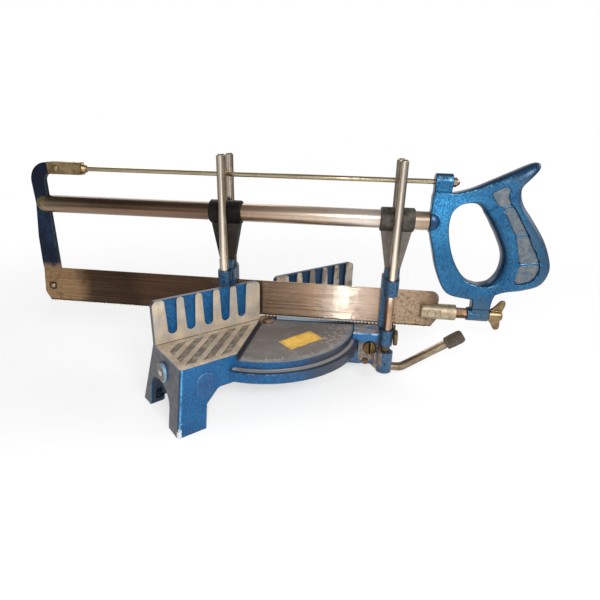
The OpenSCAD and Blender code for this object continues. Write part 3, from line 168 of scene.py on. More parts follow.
def bump(height, strength, depth, normal):
    inputs = {"Strength": strength, "Distance": depth * mm, "Height": height, "Normal": normal}
    return height.node("ShaderNodeBump", {}, inputs, "Normal")


def alongSaw(spot):  # mm along the saw, from the pivot towards the handle
    return spot.dot((diag, -diag, 0.0)) * 1000.0


def heightOf(spot):  # mm above the floor
    return spot.part("Z") * 1000.0


def turnedAway(flat):  # 0 where a surface looks across the saw, 1 where it looks along it, up or down
    return 1.0 - abs(flat.dot((diag, diag, 0.0)))


print("tools ready")

# Camera where the photograph was taken, floor, backdrop and lamps
stage = {
    "place": (-274.9127, -410.0972, 279.5745),
    "right": (0.79074277, -0.61164071, 0.02493018),
    "down": (-0.19522911, -0.29057695, -0.93672335),
    "ahead": (0.58018226, 0.73584012, -0.3491817),
    "lens": 26.328, "sensor": 36.0,
    "keyPlace": (-0.2, -1.2, 0.78), "keySize": (0.45, 0.45), "keyWatts": 10.0,
    "fillPlace": (0.9, -0.55, 0.75), "fillSize": (0.8, 0.8), "fillWatts": 5.0,
    "backPlace": (0.2, 1.1, 1.0), "backSize": (1.0, 1.0), "backWatts": 6.5,
    "flashPlace": (-0.275, -0.41, 0.325), "flashSize": (0.07, 0.07), "flashWatts": 1.35,
    "glintPlace": (-0.2825, -0.4025, 0.4), "glintSize": (0.013, 0.2), "glintWatts": 0.34,
    "aim": (0.0, -0.02, 0.12),
    "beside": (0.785, -0.619, 0.0), "screens": 0.35,
    "ambient": 0.36, "ceiling": 0.3, "floorShade": 0.9, "floorGlow": 0.62,
    "floorReach": 30.0, "floorLevel": -0.0002,
}


def makeCamera():
    eye = bpy.data.objects.new("camera", bpy.data.cameras.new("camera"))
    eye.data.lens, eye.data.sensor_width = stage["lens"], stage["sensor"]
    eye.data.clip_start, eye.data.clip_end = 0.01, 100.0
    axes = np.array([stage["right"], -np.array(stage["down"]), -np.array(stage["ahead"])]).T
    full = np.eye(4)
    full[:3, :3], full[:3, 3] = axes, np.array(stage["place"]) * mm
    eye.matrix_world = Matrix(full.tolist())
    scene.collection.objects.link(eye)
    scene.camera = eye


def makeLamp(name):
    lamp = bpy.data.objects.new(name + "Lamp", bpy.data.lights.new(name + "Lamp", "AREA"))
    lamp.data.shape, lamp.data.energy = "ELLIPSE", stage[name + "Watts"]
    lamp.data.size, lamp.data.size_y = stage[name + "Size"]
    lamp.visible_glossy = name != "flash"  # the narrow glint is what metal shows of it
    place = np.array(stage[name + "Place"])
    back = place - np.array(stage["aim"])
    back /= np.linalg.norm(back)
    side = np.cross((0, 0, 1), back)
    side /= np.linalg.norm(side)
    full = np.eye(4)
    full[:3, :3], full[:3, 3] = np.array([side, np.cross(back, side), back]).T, place
    lamp.matrix_world = Matrix(full.tolist())
    scene.collection.objects.link(lamp)


def rayWires(tree):  # 1 for rays from the camera, for mirror rays, and for rays through clear pieces
    path = tree.nodes.new("ShaderNodeLightPath")
    kinds = ("Is Camera Ray", "Is Glossy Ray", "Is Transmission Ray")
    return [Wire(tree, path.outputs[kind]) for kind in kinds]


def makeWorld():
    world = bpy.data.worlds.new("studio")
    scene.world = world
    world.use_nodes = True
    tree = world.node_tree
    tree.nodes.clear()
    glow = tree.nodes.new("ShaderNodeBackground")
    glow.inputs["Color"].default_value = (1.0, 1.0, 1.0, 1.0)
    out = tree.nodes.new("ShaderNodeOutputWorld")
    tree.links.new(glow.outputs[0], out.inputs[0])
    spot = Wire(tree, tree.nodes.new("ShaderNodeTexCoord").outputs["Generated"])
    seen, glossy, through = rayWires(tree)
    shine = glossy.most(through)
    up = spot.part("Z").rise(0.25, 0.6)  # white walls, darker ceiling, dark screens to the left and right
    beside = abs(spot.dot(stage["beside"])).rise(0.45, 0.85)
    walls = (1.0 - up * (1.0 - stage["ceiling"])) * (1.0 - beside * (1.0 - stage["screens"]))
    level = seen + (1.0 - seen) * (shine * walls + (1.0 - shine) * stage["ambient"])
    tree.links.new(level.socket, glow.inputs["Strength"])


def makeFloor():
    sheet = bpy.data.meshes.new("floor")
    reach, level = stage["floorReach"], stage["floorLevel"]
    corners = [(x * reach, y * reach, level) for x, y in ((-1, -1), (1, -1), (1, 1), (-1, 1))]
    sheet.from_pydata(corners, [], [(0, 1, 2, 3)])
    floor = bpy.data.objects.new("floor", sheet)
    scene.collection.objects.link(floor)
    paper = bpy.data.materials.new("floorPaper")
    paper.use_nodes = True
    tree = paper.node_tree
    tree.nodes.clear()
    spot = Wire(tree, tree.nodes.new("ShaderNodeTexCoord").outputs["Object"])
    seen, glossy, through = rayWires(tree)
    far = spot.node("ShaderNodeVectorMath", {"operation": "LENGTH"}, {0: spot}, "Value").rise(0.35, 1.0)
    share = seen.most(glossy).most(through) * (stage["floorGlow"] + far * (1.0 - stage["floorGlow"]))
    matt = spot.node("ShaderNodeBsdfDiffuse", {}, {"Color": (stage["floorShade"],) * 3 + (1.0,)})
    aside = abs(spot.dot(stage["beside"])).rise(0.34, 0.6) * glossy
    lit = spot.node("ShaderNodeEmission", {}, {"Color": 1.0 - aside * (1.0 - stage["screens"])})
    both = spot.node("ShaderNodeMixShader", {}, {0: share, 1: matt, 2: lit})
    tree.links.new(both.socket, tree.nodes.new("ShaderNodeOutputMaterial").inputs[0])
    sheet.materials.append(paper)


makeCamera()
for lampName in ("key", "fill", "back", "flash", "glint"):
    makeLamp(lampName)
makeWorld()
makeFloor()
scene.view_settings.view_transform = "Standard"
print("stage ready")

# Surfaces as grids of points
def gridFaces(rows, cols, wrapRows):  # quads between neighbouring points, closed round each row
    i, j = np.meshgrid(np.arange(rows if wrapRows else rows - 1), np.arange(cols), indexing="ij")
    down, side = (i + 1) % rows, (j + 1) % cols
    return np.stack([i * cols + j, i * cols + side, down * cols + side, down * cols + j], -1).reshape(-1, 4)


def shell(points, wrapRows=False):  # rings of points as a closed skin, with a flat cap on each open end
    rows, cols = points.shape[:2]
    flat = points.reshape(-1, 3)
    quads = gridFaces(rows, cols, wrapRows)
    caps = [] if wrapRows else [np.arange(cols)[::-1], (rows - 1) * cols + np.arange(cols)]
    fans = [np.stack([np.full(cols - 2, c[0]), c[1:-1], c[2:]], -1) for c in caps]
    tris = np.concatenate([quads[:, :3], quads[:, [0, 2, 3]]] + fans)
    a, b, c = flat[tris[:, 0]], flat[tris[:, 1]], flat[tris[:, 2]]
    inward = (a * np.cross(b, c)).sum() < 0  # signed volume tells which way the faces look
    faces = quads.tolist() + [c.tolist() for c in caps]
    return flat, [f[::-1] for f in faces] if inward else faces


def sawToFrame(points):  # along the saw, across it and up, in mm, to the shared frame in metres
    s, y, z = points[..., 0], points[..., 1], points[..., 2]
    return np.stack([diag * (s + y), diag * (y - s), z], -1) * mm


def makePiece(name, shells, body, finish, sharp=40.0):
    base, points, faces = 0, [], []
    for flat, sides in shells:
        points.append(flat)
        faces += [[k + base for k in f] for f in sides]
        base += len(flat)
    mesh = bpy.data.meshes.new(name)
    mesh.from_pydata(np.concatenate(points).tolist(), [], faces)
    mesh.shade_smooth()
    mesh.set_sharp_from_angle(angle=math.radians(sharp))
    mesh.materials.append(finishes[finish])
    made = bpy.data.objects.new(name, mesh)
    scene.collection.objects.link(made)
    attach(made, body)
    return made


def smoothLoop(rows, steps):  # Catmull-Rom curve through a closed list of rows, steps points to each
    t = np.linspace(0, 1, steps, endpoint=False)[None, :, None]
    p0, p1, p2, p3 = (np.roll(rows, k, 0)[:, None, :] for k in (1, 0, -1, -2))
    square = 2 * p0 - 5 * p1 + 4 * p2 - p3
    cube = 3 * p1 - p0 - 3 * p2 + p3
    curve = 2 * p1 + (p2 - p0) * t + square * t ** 2 + cube * t ** 3
    return 0.5 * curve.reshape(-1, rows.shape[1])


def ring(sides):  # angles once round, evenly spaced
    return np.linspace(0, 2 * np.pi, sides, endpoint=False)


def superellipse(turn, square):  # distance to the edge at each angle: 2 is a circle, more is squarer
    return (abs(np.cos(turn)) ** square + abs(np.sin(turn)) ** square) ** (-1 / square)


def revolve(profile, place, axis=(1, 0, 0), sides=64, frameOf=None):
    # turns rows of (along, radius) about the line through place along axis
    axis = np.array(axis, float) / np.linalg.norm(axis)
    first = np.cross(axis, (0, 1, 0) if abs(axis[1]) < 0.9 else (0, 0, 1))
    first /= np.linalg.norm(first)
    second = np.cross(axis, first)
    angle = ring(sides)[None, :, None]
    along, radius = np.array(profile, float).T[:, :, None, None]
    grid = np.array(place, float) + along * axis + radius * (np.cos(angle) * first + np.sin(angle) * second)
    return shell((frameOf or sawToFrame)(grid))


def softBlock(low, high, corner, grow=0.0, sides=64, square=8):
    # rounded box: a superellipse section carried upwards, drawn in at its foot by a quarter circle;
    # grow widens the section along the saw towards the top, as a fillet does
    low, high = np.array(low, float), np.array(high, float)
    turn = ring(sides)
    reach = superellipse(turn, square)
    bend = np.linspace(0, np.pi / 2, 6)
    straight = np.linspace(low[2] + corner, high[2], 20)[1:]
    up = np.concatenate([low[2] + corner * (1 - np.cos(bend)), straight])
    inset = np.concatenate([corner * (1 - np.sin(bend)), 0 * straight])
    share = np.clip((up - low[2]) / (high[2] - low[2]), 0, 1)
    wide = (high[0] - low[0]) / 2 - inset + grow * share ** 4
    deep = (high[1] - low[1]) / 2 - inset
    s = (low[0] + high[0]) / 2 + wide[:, None] * reach * np.cos(turn)
    y = (low[1] + high[1]) / 2 + deep[:, None] * reach * np.sin(turn)
    return shell(sawToFrame(np.stack([s, y, up[:, None] + 0 * turn], -1)))


def depthInside(points, outline):  # how far each point lies inside a closed outline, negative outside
    a, b = outline, np.roll(outline, -1, 0)
    edge = b - a
    off = points[:, None] - a
    t = np.clip((off * edge).sum(-1) / (edge ** 2).sum(-1), 0, 1)
    gap = np.linalg.norm(off - t[..., None] * edge, axis=-1).min(1)
    tall = np.where(abs(edge[:, 1]) < 1e-9, 1e-9, edge[:, 1])
    spans = (a[:, 1] > points[:, None, 1]) != (b[:, 1] > points[:, None, 1])
    left = points[:, None, 0] < edge[:, 0] * off[..., 1] / tall + a[:, 0]
    return np.where((spans & left).sum(1) % 2 == 1, gap, -gap)


def ease(value, low, high):  # smooth step from 0 to 1
    t = np.clip((value - low) / (high - low), 0, 1)
    return t * t * (3 - 2 * t)


print("surfaces ready")

# Hammer finish: blue paint that dries into small dimples, worn to metal on edges
hammers = {
    "bright": {"deep": rgb(0, 38, 82), "light": rgb(14, 97, 146), "worn": rgb(176, 176, 172),
               "dirt": rgb(36, 42, 52), "rough": 0.32, "grime": 0.22},
    "glossy": {"deep": rgb(2, 46, 86), "light": rgb(38, 106, 146), "worn": rgb(150, 166, 174),
               "dirt": rgb(38, 48, 60), "rough": 0.22, "grime": 0.2},
    # aged paint: rim is a painted shade colour, laid where round pieces turn away
    "aged": {"deep": rgb(12, 42, 74), "light": rgb(70, 106, 133), "worn": rgb(150, 144, 134),
             "dirt": rgb(44, 40, 38), "rough": 0.3, "grime": 0.45, "rim": rgb(12, 22, 40)},
    "metal": 0.3, "speckScale": 560.0, "dimpleScale": 420.0, "chipScale": 190.0,
}


def hammerPaint(spot, look, wear, radius):
    soft, edge, flat = softEdge(spot, radius)
    speck = spot.noise(hammers["speckScale"], 2.0, 0.6)
    dimple = spot.cells(hammers["dimpleScale"], "SMOOTH_F1")
    tone = (speck * 0.75 + spot.noise(34.0, 3.0, 0.6) * 0.35).rise(0.28, 0.82)
    shade = tone.blend(look["deep"], look["light"])
    grime = spot.patches(22.0, 4.0, 0.65, 0.52, 0.74) * look["grime"]
    chips = (edge * wear + (spot.noise(hammers["chipScale"], 4.0, 0.7) - 0.5) * 1.2).rise(0.4, 0.56) * edge
    shade = coats(shade, look, dirt=grime, worn=chips)
    rough = look["rough"] + speck * 0.14 + grime * 0.2 + chips * 0.1
    metal = hammers["metal"] + chips * 0.4 - grime * 0.3
    return shade, rough, metal, bump(dimple + speck * 0.5, 0.3, 0.3, soft), flat


def partFinish():
    made, shader, spot = startFinish("partPaint")
    shade, rough, metal, normal, flat = hammerPaint(spot, hammers["aged"], 0.55, 0.6)
    away = turnedAway(flat).rise(0.2, 0.9) * 0.75  # painted shade: dark where a round piece turns away from the saw's sides
    shade = away.blend(shade, hammers["aged"]["rim"])
    return endFinish(made, shader, Base_Color=shade, Roughness=rough, Metallic=metal, Normal=normal,
                     Specular_IOR_Level=0.25)


# Swing arm: aged paint, rubbed to brown metal on the lower half of the lever head and on its top
armWear = {
    "headStart": 111.0, "headEnd": 138.0, "foot": 30.0, "half": 52.0, "browStart": 103.0, "browTop": 60.0,
    "paleBand": (64.8, 66.9),
    **tones(brown=(146, 129, 116), dark=(92, 77, 68), olive=(112, 102, 78), blue=(34, 98, 148),
            pale=(178, 198, 224)),
}


def armFinish():
    made, shader, spot = startFinish("armPaint")
    shade, rough, metal, normal, flat = hammerPaint(spot, hammers["aged"], 0.62, 0.8)
    along, height, half = alongSaw(spot), heightOf(spot), armWear["half"]
    head = along.between(armWear["headStart"], armWear["headEnd"]) * (height > armWear["foot"])
    lower = (height + (spot.noise(120.0, 4.0, 0.65) - 0.5) * 16.0).rise(half + 5.0, half - 3.0)
    rub = lower * head * (0.7 + spot.noise(60.0, 3.0, 0.6) * 0.3)
    brown = spot.patches(420.0, 3.0, 0.65, 0.36, 0.62).blend(armWear["dark"], armWear["brown"])
    shade = rub.blend(shade, brown)
    browSpan = along.between(armWear["browStart"], armWear["headEnd"] - 4.0)
    upper = browSpan * height.rise(half + 3.0, half + 6.0)
    # a painted highlight: a pale line along the top edge of the brow's front
    pale = upper * height.between(*armWear["paleBand"]) * spot.patches(60.0, 3.0, 0.6, 0.34, 0.5) * 0.7
    shade = coats(shade, armWear, blue=upper * spot.patches(80.0, 4.0, 0.65, 0.25, 0.5) * 0.85, pale=pale)
    top = upper * (flat.part("Z") > 0.6) * (height > armWear["browTop"])
    top = top * spot.patches(140.0, 4.0, 0.7, 0.36, 0.5)
    worn = spot.patches(90.0, 3.0, 0.6, 0.42, 0.58).blend(armWear["olive"], armWear["brown"])
    shade = top.blend(shade, worn)
    rough = rough + rub * 0.12
    return endFinish(made, shader, Base_Color=shade, Roughness=rough, Metallic=metal, Normal=normal)


# Base casting: the same paint, ground bare on the tables and fences; lengths in mm
casting = {
    "table": 73.6, "recess": 72.4, "quadrant": 67.0, "quadrantRadius": 103.0, "end": 139.4, "front": -62.5,
    "rear": 7.6, "splay": 8.0, "rearSplay": 22.0, "cornerRadius": 3.5, "panelStart": 92.0, "ceiling": 57.0,
    "crestHeight": 30.0, "hollowDepth": 6.0, "stepLine": (12.1, 1.07), "stepReach": 84.0, "markEnd": 101.0,
    "markStart": 96.0, "longMarkStart": 92.0, "markSpan": 50.2, "rimLow": 44.0, "rimReach": 99.0,
    "rimDepth": 20.0, "ledge": (55.5, 58.8), "ledgeReach": 108.3, "ledgeLip": (105.2, 106.4),
    "boss": (-21.0, 53.6), "bossRadius": 14.0, "bossEdge": (8.4, 9.4),
    **tones(bare=(206, 189, 166), bareDark=(158, 142, 122), haze=(146, 150, 150),
            recessShade=(104, 95, 86), recessScuff=(160, 146, 128), quadrantShade=(104, 99, 96),
            quadrantScuff=(136, 131, 127), border=(122, 121, 120), borderBlue=(98, 110, 124),
            scrape=(188, 183, 176), mark=(206, 204, 198), endShade=(46, 44, 50), endScuff=(78, 74, 75),
            seam=(52, 44, 38), step=(30, 32, 38), stepPale=(170, 197, 220), inside=(20, 27, 38),
            rubbed=(84, 156, 206), rimDark=(44, 46, 54), ledgeShade=(150, 147, 142),
            ledgeDark=(52, 56, 64), bossFace=(92, 79, 68), bossRing=(124, 158, 182), navy=(22, 36, 58),
            crest=(62, 55, 52), chip=(196, 202, 202), panel=(44, 78, 118), panelLine=(118, 158, 186)),
}


def castingPlaces(spot):  # what marks are placed by: mm from faces of the casting, degrees about the pivot
    size = spot.stretch((1000.0, 1000.0, 1000.0))
    x, y, z = size.part("X"), size.part("Y"), size.part("Z")
    drop = (casting["table"] - z) / casting["table"]
    return {"x": x, "y": y, "z": z, "depth": y - casting["front"],
            "wall": casting["end"] + drop * casting["splay"] - abs(x),
            "rear": casting["rear"] + drop * casting["rearSplay"] - y,
            "reach": (x * x + y * y) ** 0.5, "turn": x.angle(0.0 - y)}


def legPaint(spot, at, shade):
    # front corners: a painted highlight on the rounded corner and painted shade where it turns to the end
    # wall, chipped at the foot
    z, wall, depth, bend = at["z"], at["wall"], at["depth"], casting["cornerRadius"]
    corner = (wall < bend) * (depth < bend) * (z < casting["table"] - 1.0)
    facing = (bend - wall).angle(bend - depth)
    shine = corner * facing.rise(8.0, 28.0) * facing.rise(54.0, 36.0)
    chipped = corner * (spot.noise(240.0, 4.0, 0.7) + (16.0 - z) * 0.012).rise(0.54, 0.62) * (z < 26.0)
    shade = coats(shade, casting, navy=corner * facing.rise(40.0, 66.0) * 0.9,
                  rubbed=shine * spot.patches(160.0, 4.0, 0.65, 0.28, 0.62) * 0.85, chip=chipped)
    # raised panels: a painted highlight as a pale line round them, greyer paint on them
    panel = (abs(at["x"]) > casting["panelStart"]) * (z < casting["table"] - 4.0) * (depth < -0.05)
    line = panel * (depth > -0.9)
    shade = (panel * 0.35 + line * 0.5).blend(shade, line.blend(casting["panel"], casting["panelLine"]))
    # painted shade: faces turned inwards are dark, mottled
    inside = (wall > 1.2) * (depth > 1.2) * (at["rear"] > 1.2) * (z < casting["ceiling"])
    return coats(shade, casting, inside=inside * (0.6 + spot.noise(40.0, 3.0, 0.6) * 0.5)), inside


def groundFaces(spot, at, flat, shade):
    # fence fronts and table tops are ground; upper edges and ends of the fences are dark, with painted shade
    # in the right-hand fence's hollows
    x, y, z, table = at["x"], at["y"], at["z"], casting["table"]
    fence = y.between(-0.4, 0.4) * (z > table - 0.4)
    ground = fence.most(z.between(table - 0.4, table + 0.4) * (y < 0.4))
    upper = (flat.part("Z") > 0.5) * (z > table + casting["crestHeight"])
    crest = (z > table + 0.5) * (y > 0.4) * upper.most(abs(x) > casting["end"] - 0.3)
    hollow = (x > 0.0) * y.between(0.4, casting["hollowDepth"]) * (z > table + 0.5) * (1.0 - crest)
    shade = coats(shade, casting, crest=crest * 0.9, inside=hollow * 0.6)
    smear = spot.noise(46.0, 4.0, 0.6)
    lines = spot.stretch((500.0, 90.0, 40.0)).noise(1.0, 3.0, 0.6)
    bare = (smear * 0.7 + lines * 0.35).rise(0.32, 0.74).blend(casting["bareDark"], casting["bare"])
    # the bare faces are hazy in patches, and darker in patches on the right-hand fence
    bare = coats(bare, casting, haze=fence * spot.patches(38.0, 4.0, 0.6, 0.36, 0.62) * 0.5,
                 seam=fence * (x > 0.0) * spot.patches(55.0, 2.0, 0.5, 0.56, 0.44) * 0.6,
                 recessShade=spot.patches(240.0, 4.0, 0.7, 0.62, 0.74) * 0.35)
    shade = ground.blend(shade, bare)
    # recess floors, scuffed through the paint
    floor = casting["recess"]
    recess = z.between(floor - 0.4, floor + 0.4) * y.between(casting["front"] + 1.0, -1.0)
    scuff = spot.patches(95.0, 5.0, 0.68, 0.42, 0.66)
    shade = recess.blend(shade, scuff.blend(casting["recessShade"], casting["recessScuff"]))
    return shade, ground, recess, 0.4 + smear * 0.2


def quadrantTop(spot, at, shade):
    # rubbed in patches and faint arcs, with a paler border, scrapes on the right and painted shadow beside
    # the steps
    reach, turn, level = at["reach"], at["turn"], casting["quadrant"]
    quadrant = at["z"].between(level - 0.3, level + 0.3) * (reach < casting["quadrantRadius"] + 0.5)
    rubbed = spot.patches(50.0, 5.0, 0.72, 0.46, 0.75) * 0.7
    arcs = reach.zigzag(1.7).rise(1.3, 1.7) * 0.25
    top = rubbed.most(arcs).blend(casting["quadrantShade"], casting["quadrantScuff"])
    border = turn.rise(-10.0, 15.0).blend(casting["border"], casting["borderBlue"])
    top = (reach.rise(96.0, 100.0) * spot.patches(80.0, 3.0, 0.6, 0.3, 0.6)).blend(top, border)
    scrape = turn.rise(4.0, 18.0) * turn.rise(56.0, 40.0) * reach.rise(66.0, 80.0) * reach.rise(100.0, 94.0)
    start, slant = casting["stepLine"]
    beyond = start + abs(at["y"]) * slant - abs(at["x"])
    # a short line at each degree and a longer one at each fifth, worn away in patches
    one, five = turn.zigzag(0.5) < 0.09, turn.zigzag(2.5) < 0.14
    longBand = reach.between(casting["longMarkStart"], casting["markEnd"]) * five
    band = reach.between(casting["markStart"], casting["markEnd"]).most(longBand)
    marks = one.most(five) * band * (abs(turn) < casting["markSpan"])
    top = coats(top, casting, scrape=scrape * spot.patches(210.0, 4.0, 0.7, 0.52, 0.64) * 0.8,
                step=beyond.rise(4.6, 2.0) * 0.9,
                mark=marks * spot.patches(90.0, 3.0, 0.6, 0.42, 0.56) * 0.75)
    return quadrant.blend(shade, top), quadrant


def rimPaint(spot, at, recess, shade):
    # darker along the corner of table and fence; painted shadow on the step down to the quadrant
    x, y, z, reach, table = at["x"], at["y"], at["z"], at["reach"], casting["table"]
    seam = y.between(-0.45, 0.45) * z.between(table - 0.45, table + 0.45)
    step = z.between(casting["quadrant"] + 0.35, table - 0.5) * y.between(casting["front"] + 0.6, -0.4)
    step = step * (abs(x) < casting["stepReach"]) * (1.0 - recess)
    pale = step * (x > 8.0) * x.rise(78.0, 34.0) * 0.85  # painted highlight: the right-hand step is lit pale near the pivot
    # painted shade: the two rims darken to dark grey towards the right, where they turn from the light; the
    # ledge between them is worn grey, with a painted shadow along its outer part by the lower rim's lip
    rim = z.between(casting["rimLow"], casting["quadrant"] - 0.3) * (reach > casting["rimReach"])
    rim = rim * (at["depth"] < casting["rimDepth"])
    fade = rim * (at["turn"] + (spot.noise(30.0, 4.0, 0.65) - 0.5) * 40.0).rise(-34.0, 4.0)
    shade = coats(shade, casting, seam=seam * spot.patches(60.0, 3.0, 0.6, 0.3, 0.45), step=step * 0.85,
                  stepPale=pale, rimDark=fade * 0.92)
    ledge = z.between(*casting["ledge"]) * (reach < casting["ledgeReach"]) * rim
    worn = reach.rise(*casting["ledgeLip"]).blend(casting["ledgeShade"], casting["ledgeDark"])
    return (ledge * 0.9).blend(shade, worn), fade


def endWalls(spot, at, flat, shade):
    # painted shade: grey over the end walls, which turn from the light; the screw bosses have a brown face
    # and a painted highlight on the front side of their edge
    y, z = at["y"], at["z"]
    ends = (abs(at["x"]) > casting["end"] + 0.25) * (z < casting["table"] - 0.4) * (abs(flat.part("X")) > 0.7)
    ends = ends * (at["depth"] > casting["cornerRadius"] - 0.4)
    grey = ends * spot.patches(45.0, 4.0, 0.65, 0.12, 0.38) * 0.94
    scuff = spot.patches(140.0, 4.0, 0.7, 0.42, 0.7).blend(casting["endShade"], casting["endScuff"])
    shade = grey.blend(shade, scuff)
    bossY, bossZ = casting["boss"]
    fromBoss = ((y - bossY) ** 2.0 + (z - bossZ) ** 2.0) ** 0.5
    boss = (at["wall"] < -0.7) * (fromBoss < casting["bossRadius"])
    edge = fromBoss.rise(*casting["bossEdge"]) * (bossY - y).rise(-4.0, 8.0)
    face = edge.blend(casting["bossFace"], casting["bossRing"])
    return (boss * (0.55 + spot.noise(110.0, 3.0, 0.6) * 0.6)).blend(shade, face), grey


def castingFinish():
    made, shader, spot = startFinish("castingPaint")
    at = castingPlaces(spot)
    # more chips near the floor, rounder edges below the table
    wear = 0.4 + (34.0 - at["z"]).rise(0.0, 30.0) * 0.45
    radius = 0.5 + (at["z"] < casting["table"] - 1.6) * 1.3
    shade, rough, metal, normal, flat = hammerPaint(spot, hammers["bright"], wear, radius)
    shade, inside = legPaint(spot, at, shade)
    shade, ground, recess, plainRough = groundFaces(spot, at, flat, shade)
    shade, quadrant = quadrantTop(spot, at, shade)
    shade, fade = rimPaint(spot, at, recess, shade)
    shade, grey = endWalls(spot, at, flat, shade)
    plain = ground.most(recess).most(quadrant)
    rough = rough * (1.0 - plain) + plain * plainRough
    dull = 1.0 - grey.most(inside).most(fade) * 0.6
    metal = metal * (1.0 - plain) * dull + ground * 0.4 + recess * 0.25 + quadrant * 0.15
    return endFinish(made, shader, Base_Color=shade, Roughness=rough, Metallic=metal, Normal=normal)


# Handle: bright paint, greyer towards the neck and where the palm rubs the back of the grip; lengths in mm
handleWear = {
    "neck": 124.0, "palm": 288.0, "palmLevel": 150.0, "palmSlant": 0.35, "axis": 198.1,
    "barTone": ((256.0, 196.0), (150.0, 220.0), (238.0, 218.0)), "horn": ((225.0, 255.0), (236.0, 250.0)),
    "bossEnd": 192.0, "bossHalf": 11.0, "bossFace": 8.1, "glance": (-0.56, -0.6, 0.57),
    "seams": [(103.4, 226.0, 256.0), (229.6, 174.0, 197.0)], "seamFace": 6.5,
    **tones(grey=(60, 82, 98), navy=(12, 34, 62), rim=(10, 30, 54), sky=(62, 152, 208),
            sheen=(150, 206, 236)),
}


def handleFinish():
    made, shader, spot = startFinish("handlePaint")
    shade, rough, metal, normal, flat = hammerPaint(spot, hammers["glossy"], 0.42, 0.7)
    along, height, palmStart = alongSaw(spot), heightOf(spot), handleWear["palm"]
    neck = 1.0 - height.rise(handleWear["neck"] - 16.0, handleWear["neck"])
    palm = along + (height - handleWear["palmLevel"]) * handleWear["palmSlant"]
    palm = palm.rise(palmStart - 14.0, palmStart + 6.0)
    rub = neck.most(palm * 0.9) * spot.patches(60.0, 4.0, 0.65, 0.28, 0.6) * 0.75
    # painted light at the top of the front bar, painted highlights on slopes that meet the lamp, painted
    # shade on the horn and round edges
    back, low, high = handleWear["barTone"]
    sky = along.rise(*back) * height.rise(*low) * height.rise(*high)
    sky = sky * (0.1 + spot.patches(480.0, 2.0, 0.6, 0.3, 0.7) * 0.85)
    slope = flat.dot(handleWear["glance"]).rise(0.9, 0.99) * (1.0 - palm)
    slope = slope * spot.patches(300.0, 3.0, 0.7, 0.42, 0.66) * 0.7
    hornAlong, hornHeight = handleWear["horn"]
    horn = height.rise(*hornHeight) * along.rise(*hornAlong) * 0.6
    rim = (turnedAway(flat).rise(0.06, 0.5) * 0.88).most(horn)
    # darker navy on the boss of the tube, painted shade along the foot of the two barrels
    across = abs(spot.dot((diag, diag, 0.0))) * 1000.0
    boss = (across > handleWear["bossFace"]) * (along < handleWear["bossEnd"])
    boss = boss * (abs(height - handleWear["axis"]) < handleWear["bossHalf"])
    for level, start, end in handleWear["seams"]:
        seam = along.between(start, end) * (1.0 - abs(height - level).rise(0.3, 1.0))
        boss = boss.most(seam * (across > handleWear["seamFace"]))
    boss = boss * (0.6 + spot.noise(150.0, 3.0, 0.6) * 0.4)
    shade = coats(shade, handleWear, grey=rub, sky=sky, sheen=slope, rim=rim, navy=boss)
    return endFinish(made, shader, Base_Color=shade, Roughness=rough, Metallic=metal, Normal=normal,
                     Specular_IOR_Level=0.35)


# Metals: streaks run along the direction with the smallest number, mottle says how uneven the tone is
def metalLook(deep, light, rough, along, mottle, **extra):
    return {"deep": rgb(*deep), "light": rgb(*light), "rough": rough, "along": along, "mottle": mottle,
            **extra}


metals = {
    "chromePost": metalLook((112, 88, 66), (255, 241, 220), 0.14, (420.0, 420.0, 5.0), 0.5, foot=60.0,
                            footShade=rgb(96, 78, 60), shin=(120.0, 104.0), shinShade=rgb(158, 117, 86),
                            front=(-diag, -diag, 0.0)),
    "leverSteel": metalLook((100, 84, 65), (180, 161, 136), 0.36, (120.0, 120.0, 120.0), 0.6),
    "plainSteel": metalLook((96, 90, 82), (176, 168, 156), 0.34, (150.0, 150.0, 150.0), 0.6),
    "zincRod": metalLook((126, 110, 82), (206, 192, 162), 0.22, (12.0, 12.0, 60.0), 0.22),
    "zincPlate": metalLook((102, 84, 54), (196, 172, 132), 0.34, (160.0, 160.0, 160.0), 0.8),
    "agedBrass": metalLook((86, 69, 45), (166, 143, 108), 0.32, (180.0, 180.0, 180.0), 0.8),
    "darkBrass": metalLook((62, 50, 38), (134, 112, 82), 0.36, (180.0, 180.0, 180.0), 0.8),
    "slotBrass": metalLook((40, 32, 23), (136, 110, 72), 0.3, (700.0, 700.0, 40.0), 1.0, slot=124.0,
                           slotShade=rgb(16, 13, 10), lip=rgb(190, 156, 98)),
    "pewter": metalLook((146, 130, 105), (208, 193, 166), 0.5, (200.0, 200.0, 200.0), 0.9),
    "brownScrew": metalLook((74, 54, 38), (138, 113, 91), 0.38, (160.0, 160.0, 160.0), 0.9),
    "silverScrew": metalLook((176, 166, 152), (246, 238, 226), 0.42, (160.0, 160.0, 160.0), 0.6),
    "copperBolt": metalLook((118, 92, 76), (176, 148, 128), 0.4, (200.0, 200.0, 200.0), 0.8),
    "plugAlloy": metalLook((112, 98, 72), (182, 166, 130), 0.45, (160.0, 160.0, 160.0), 0.8),
}


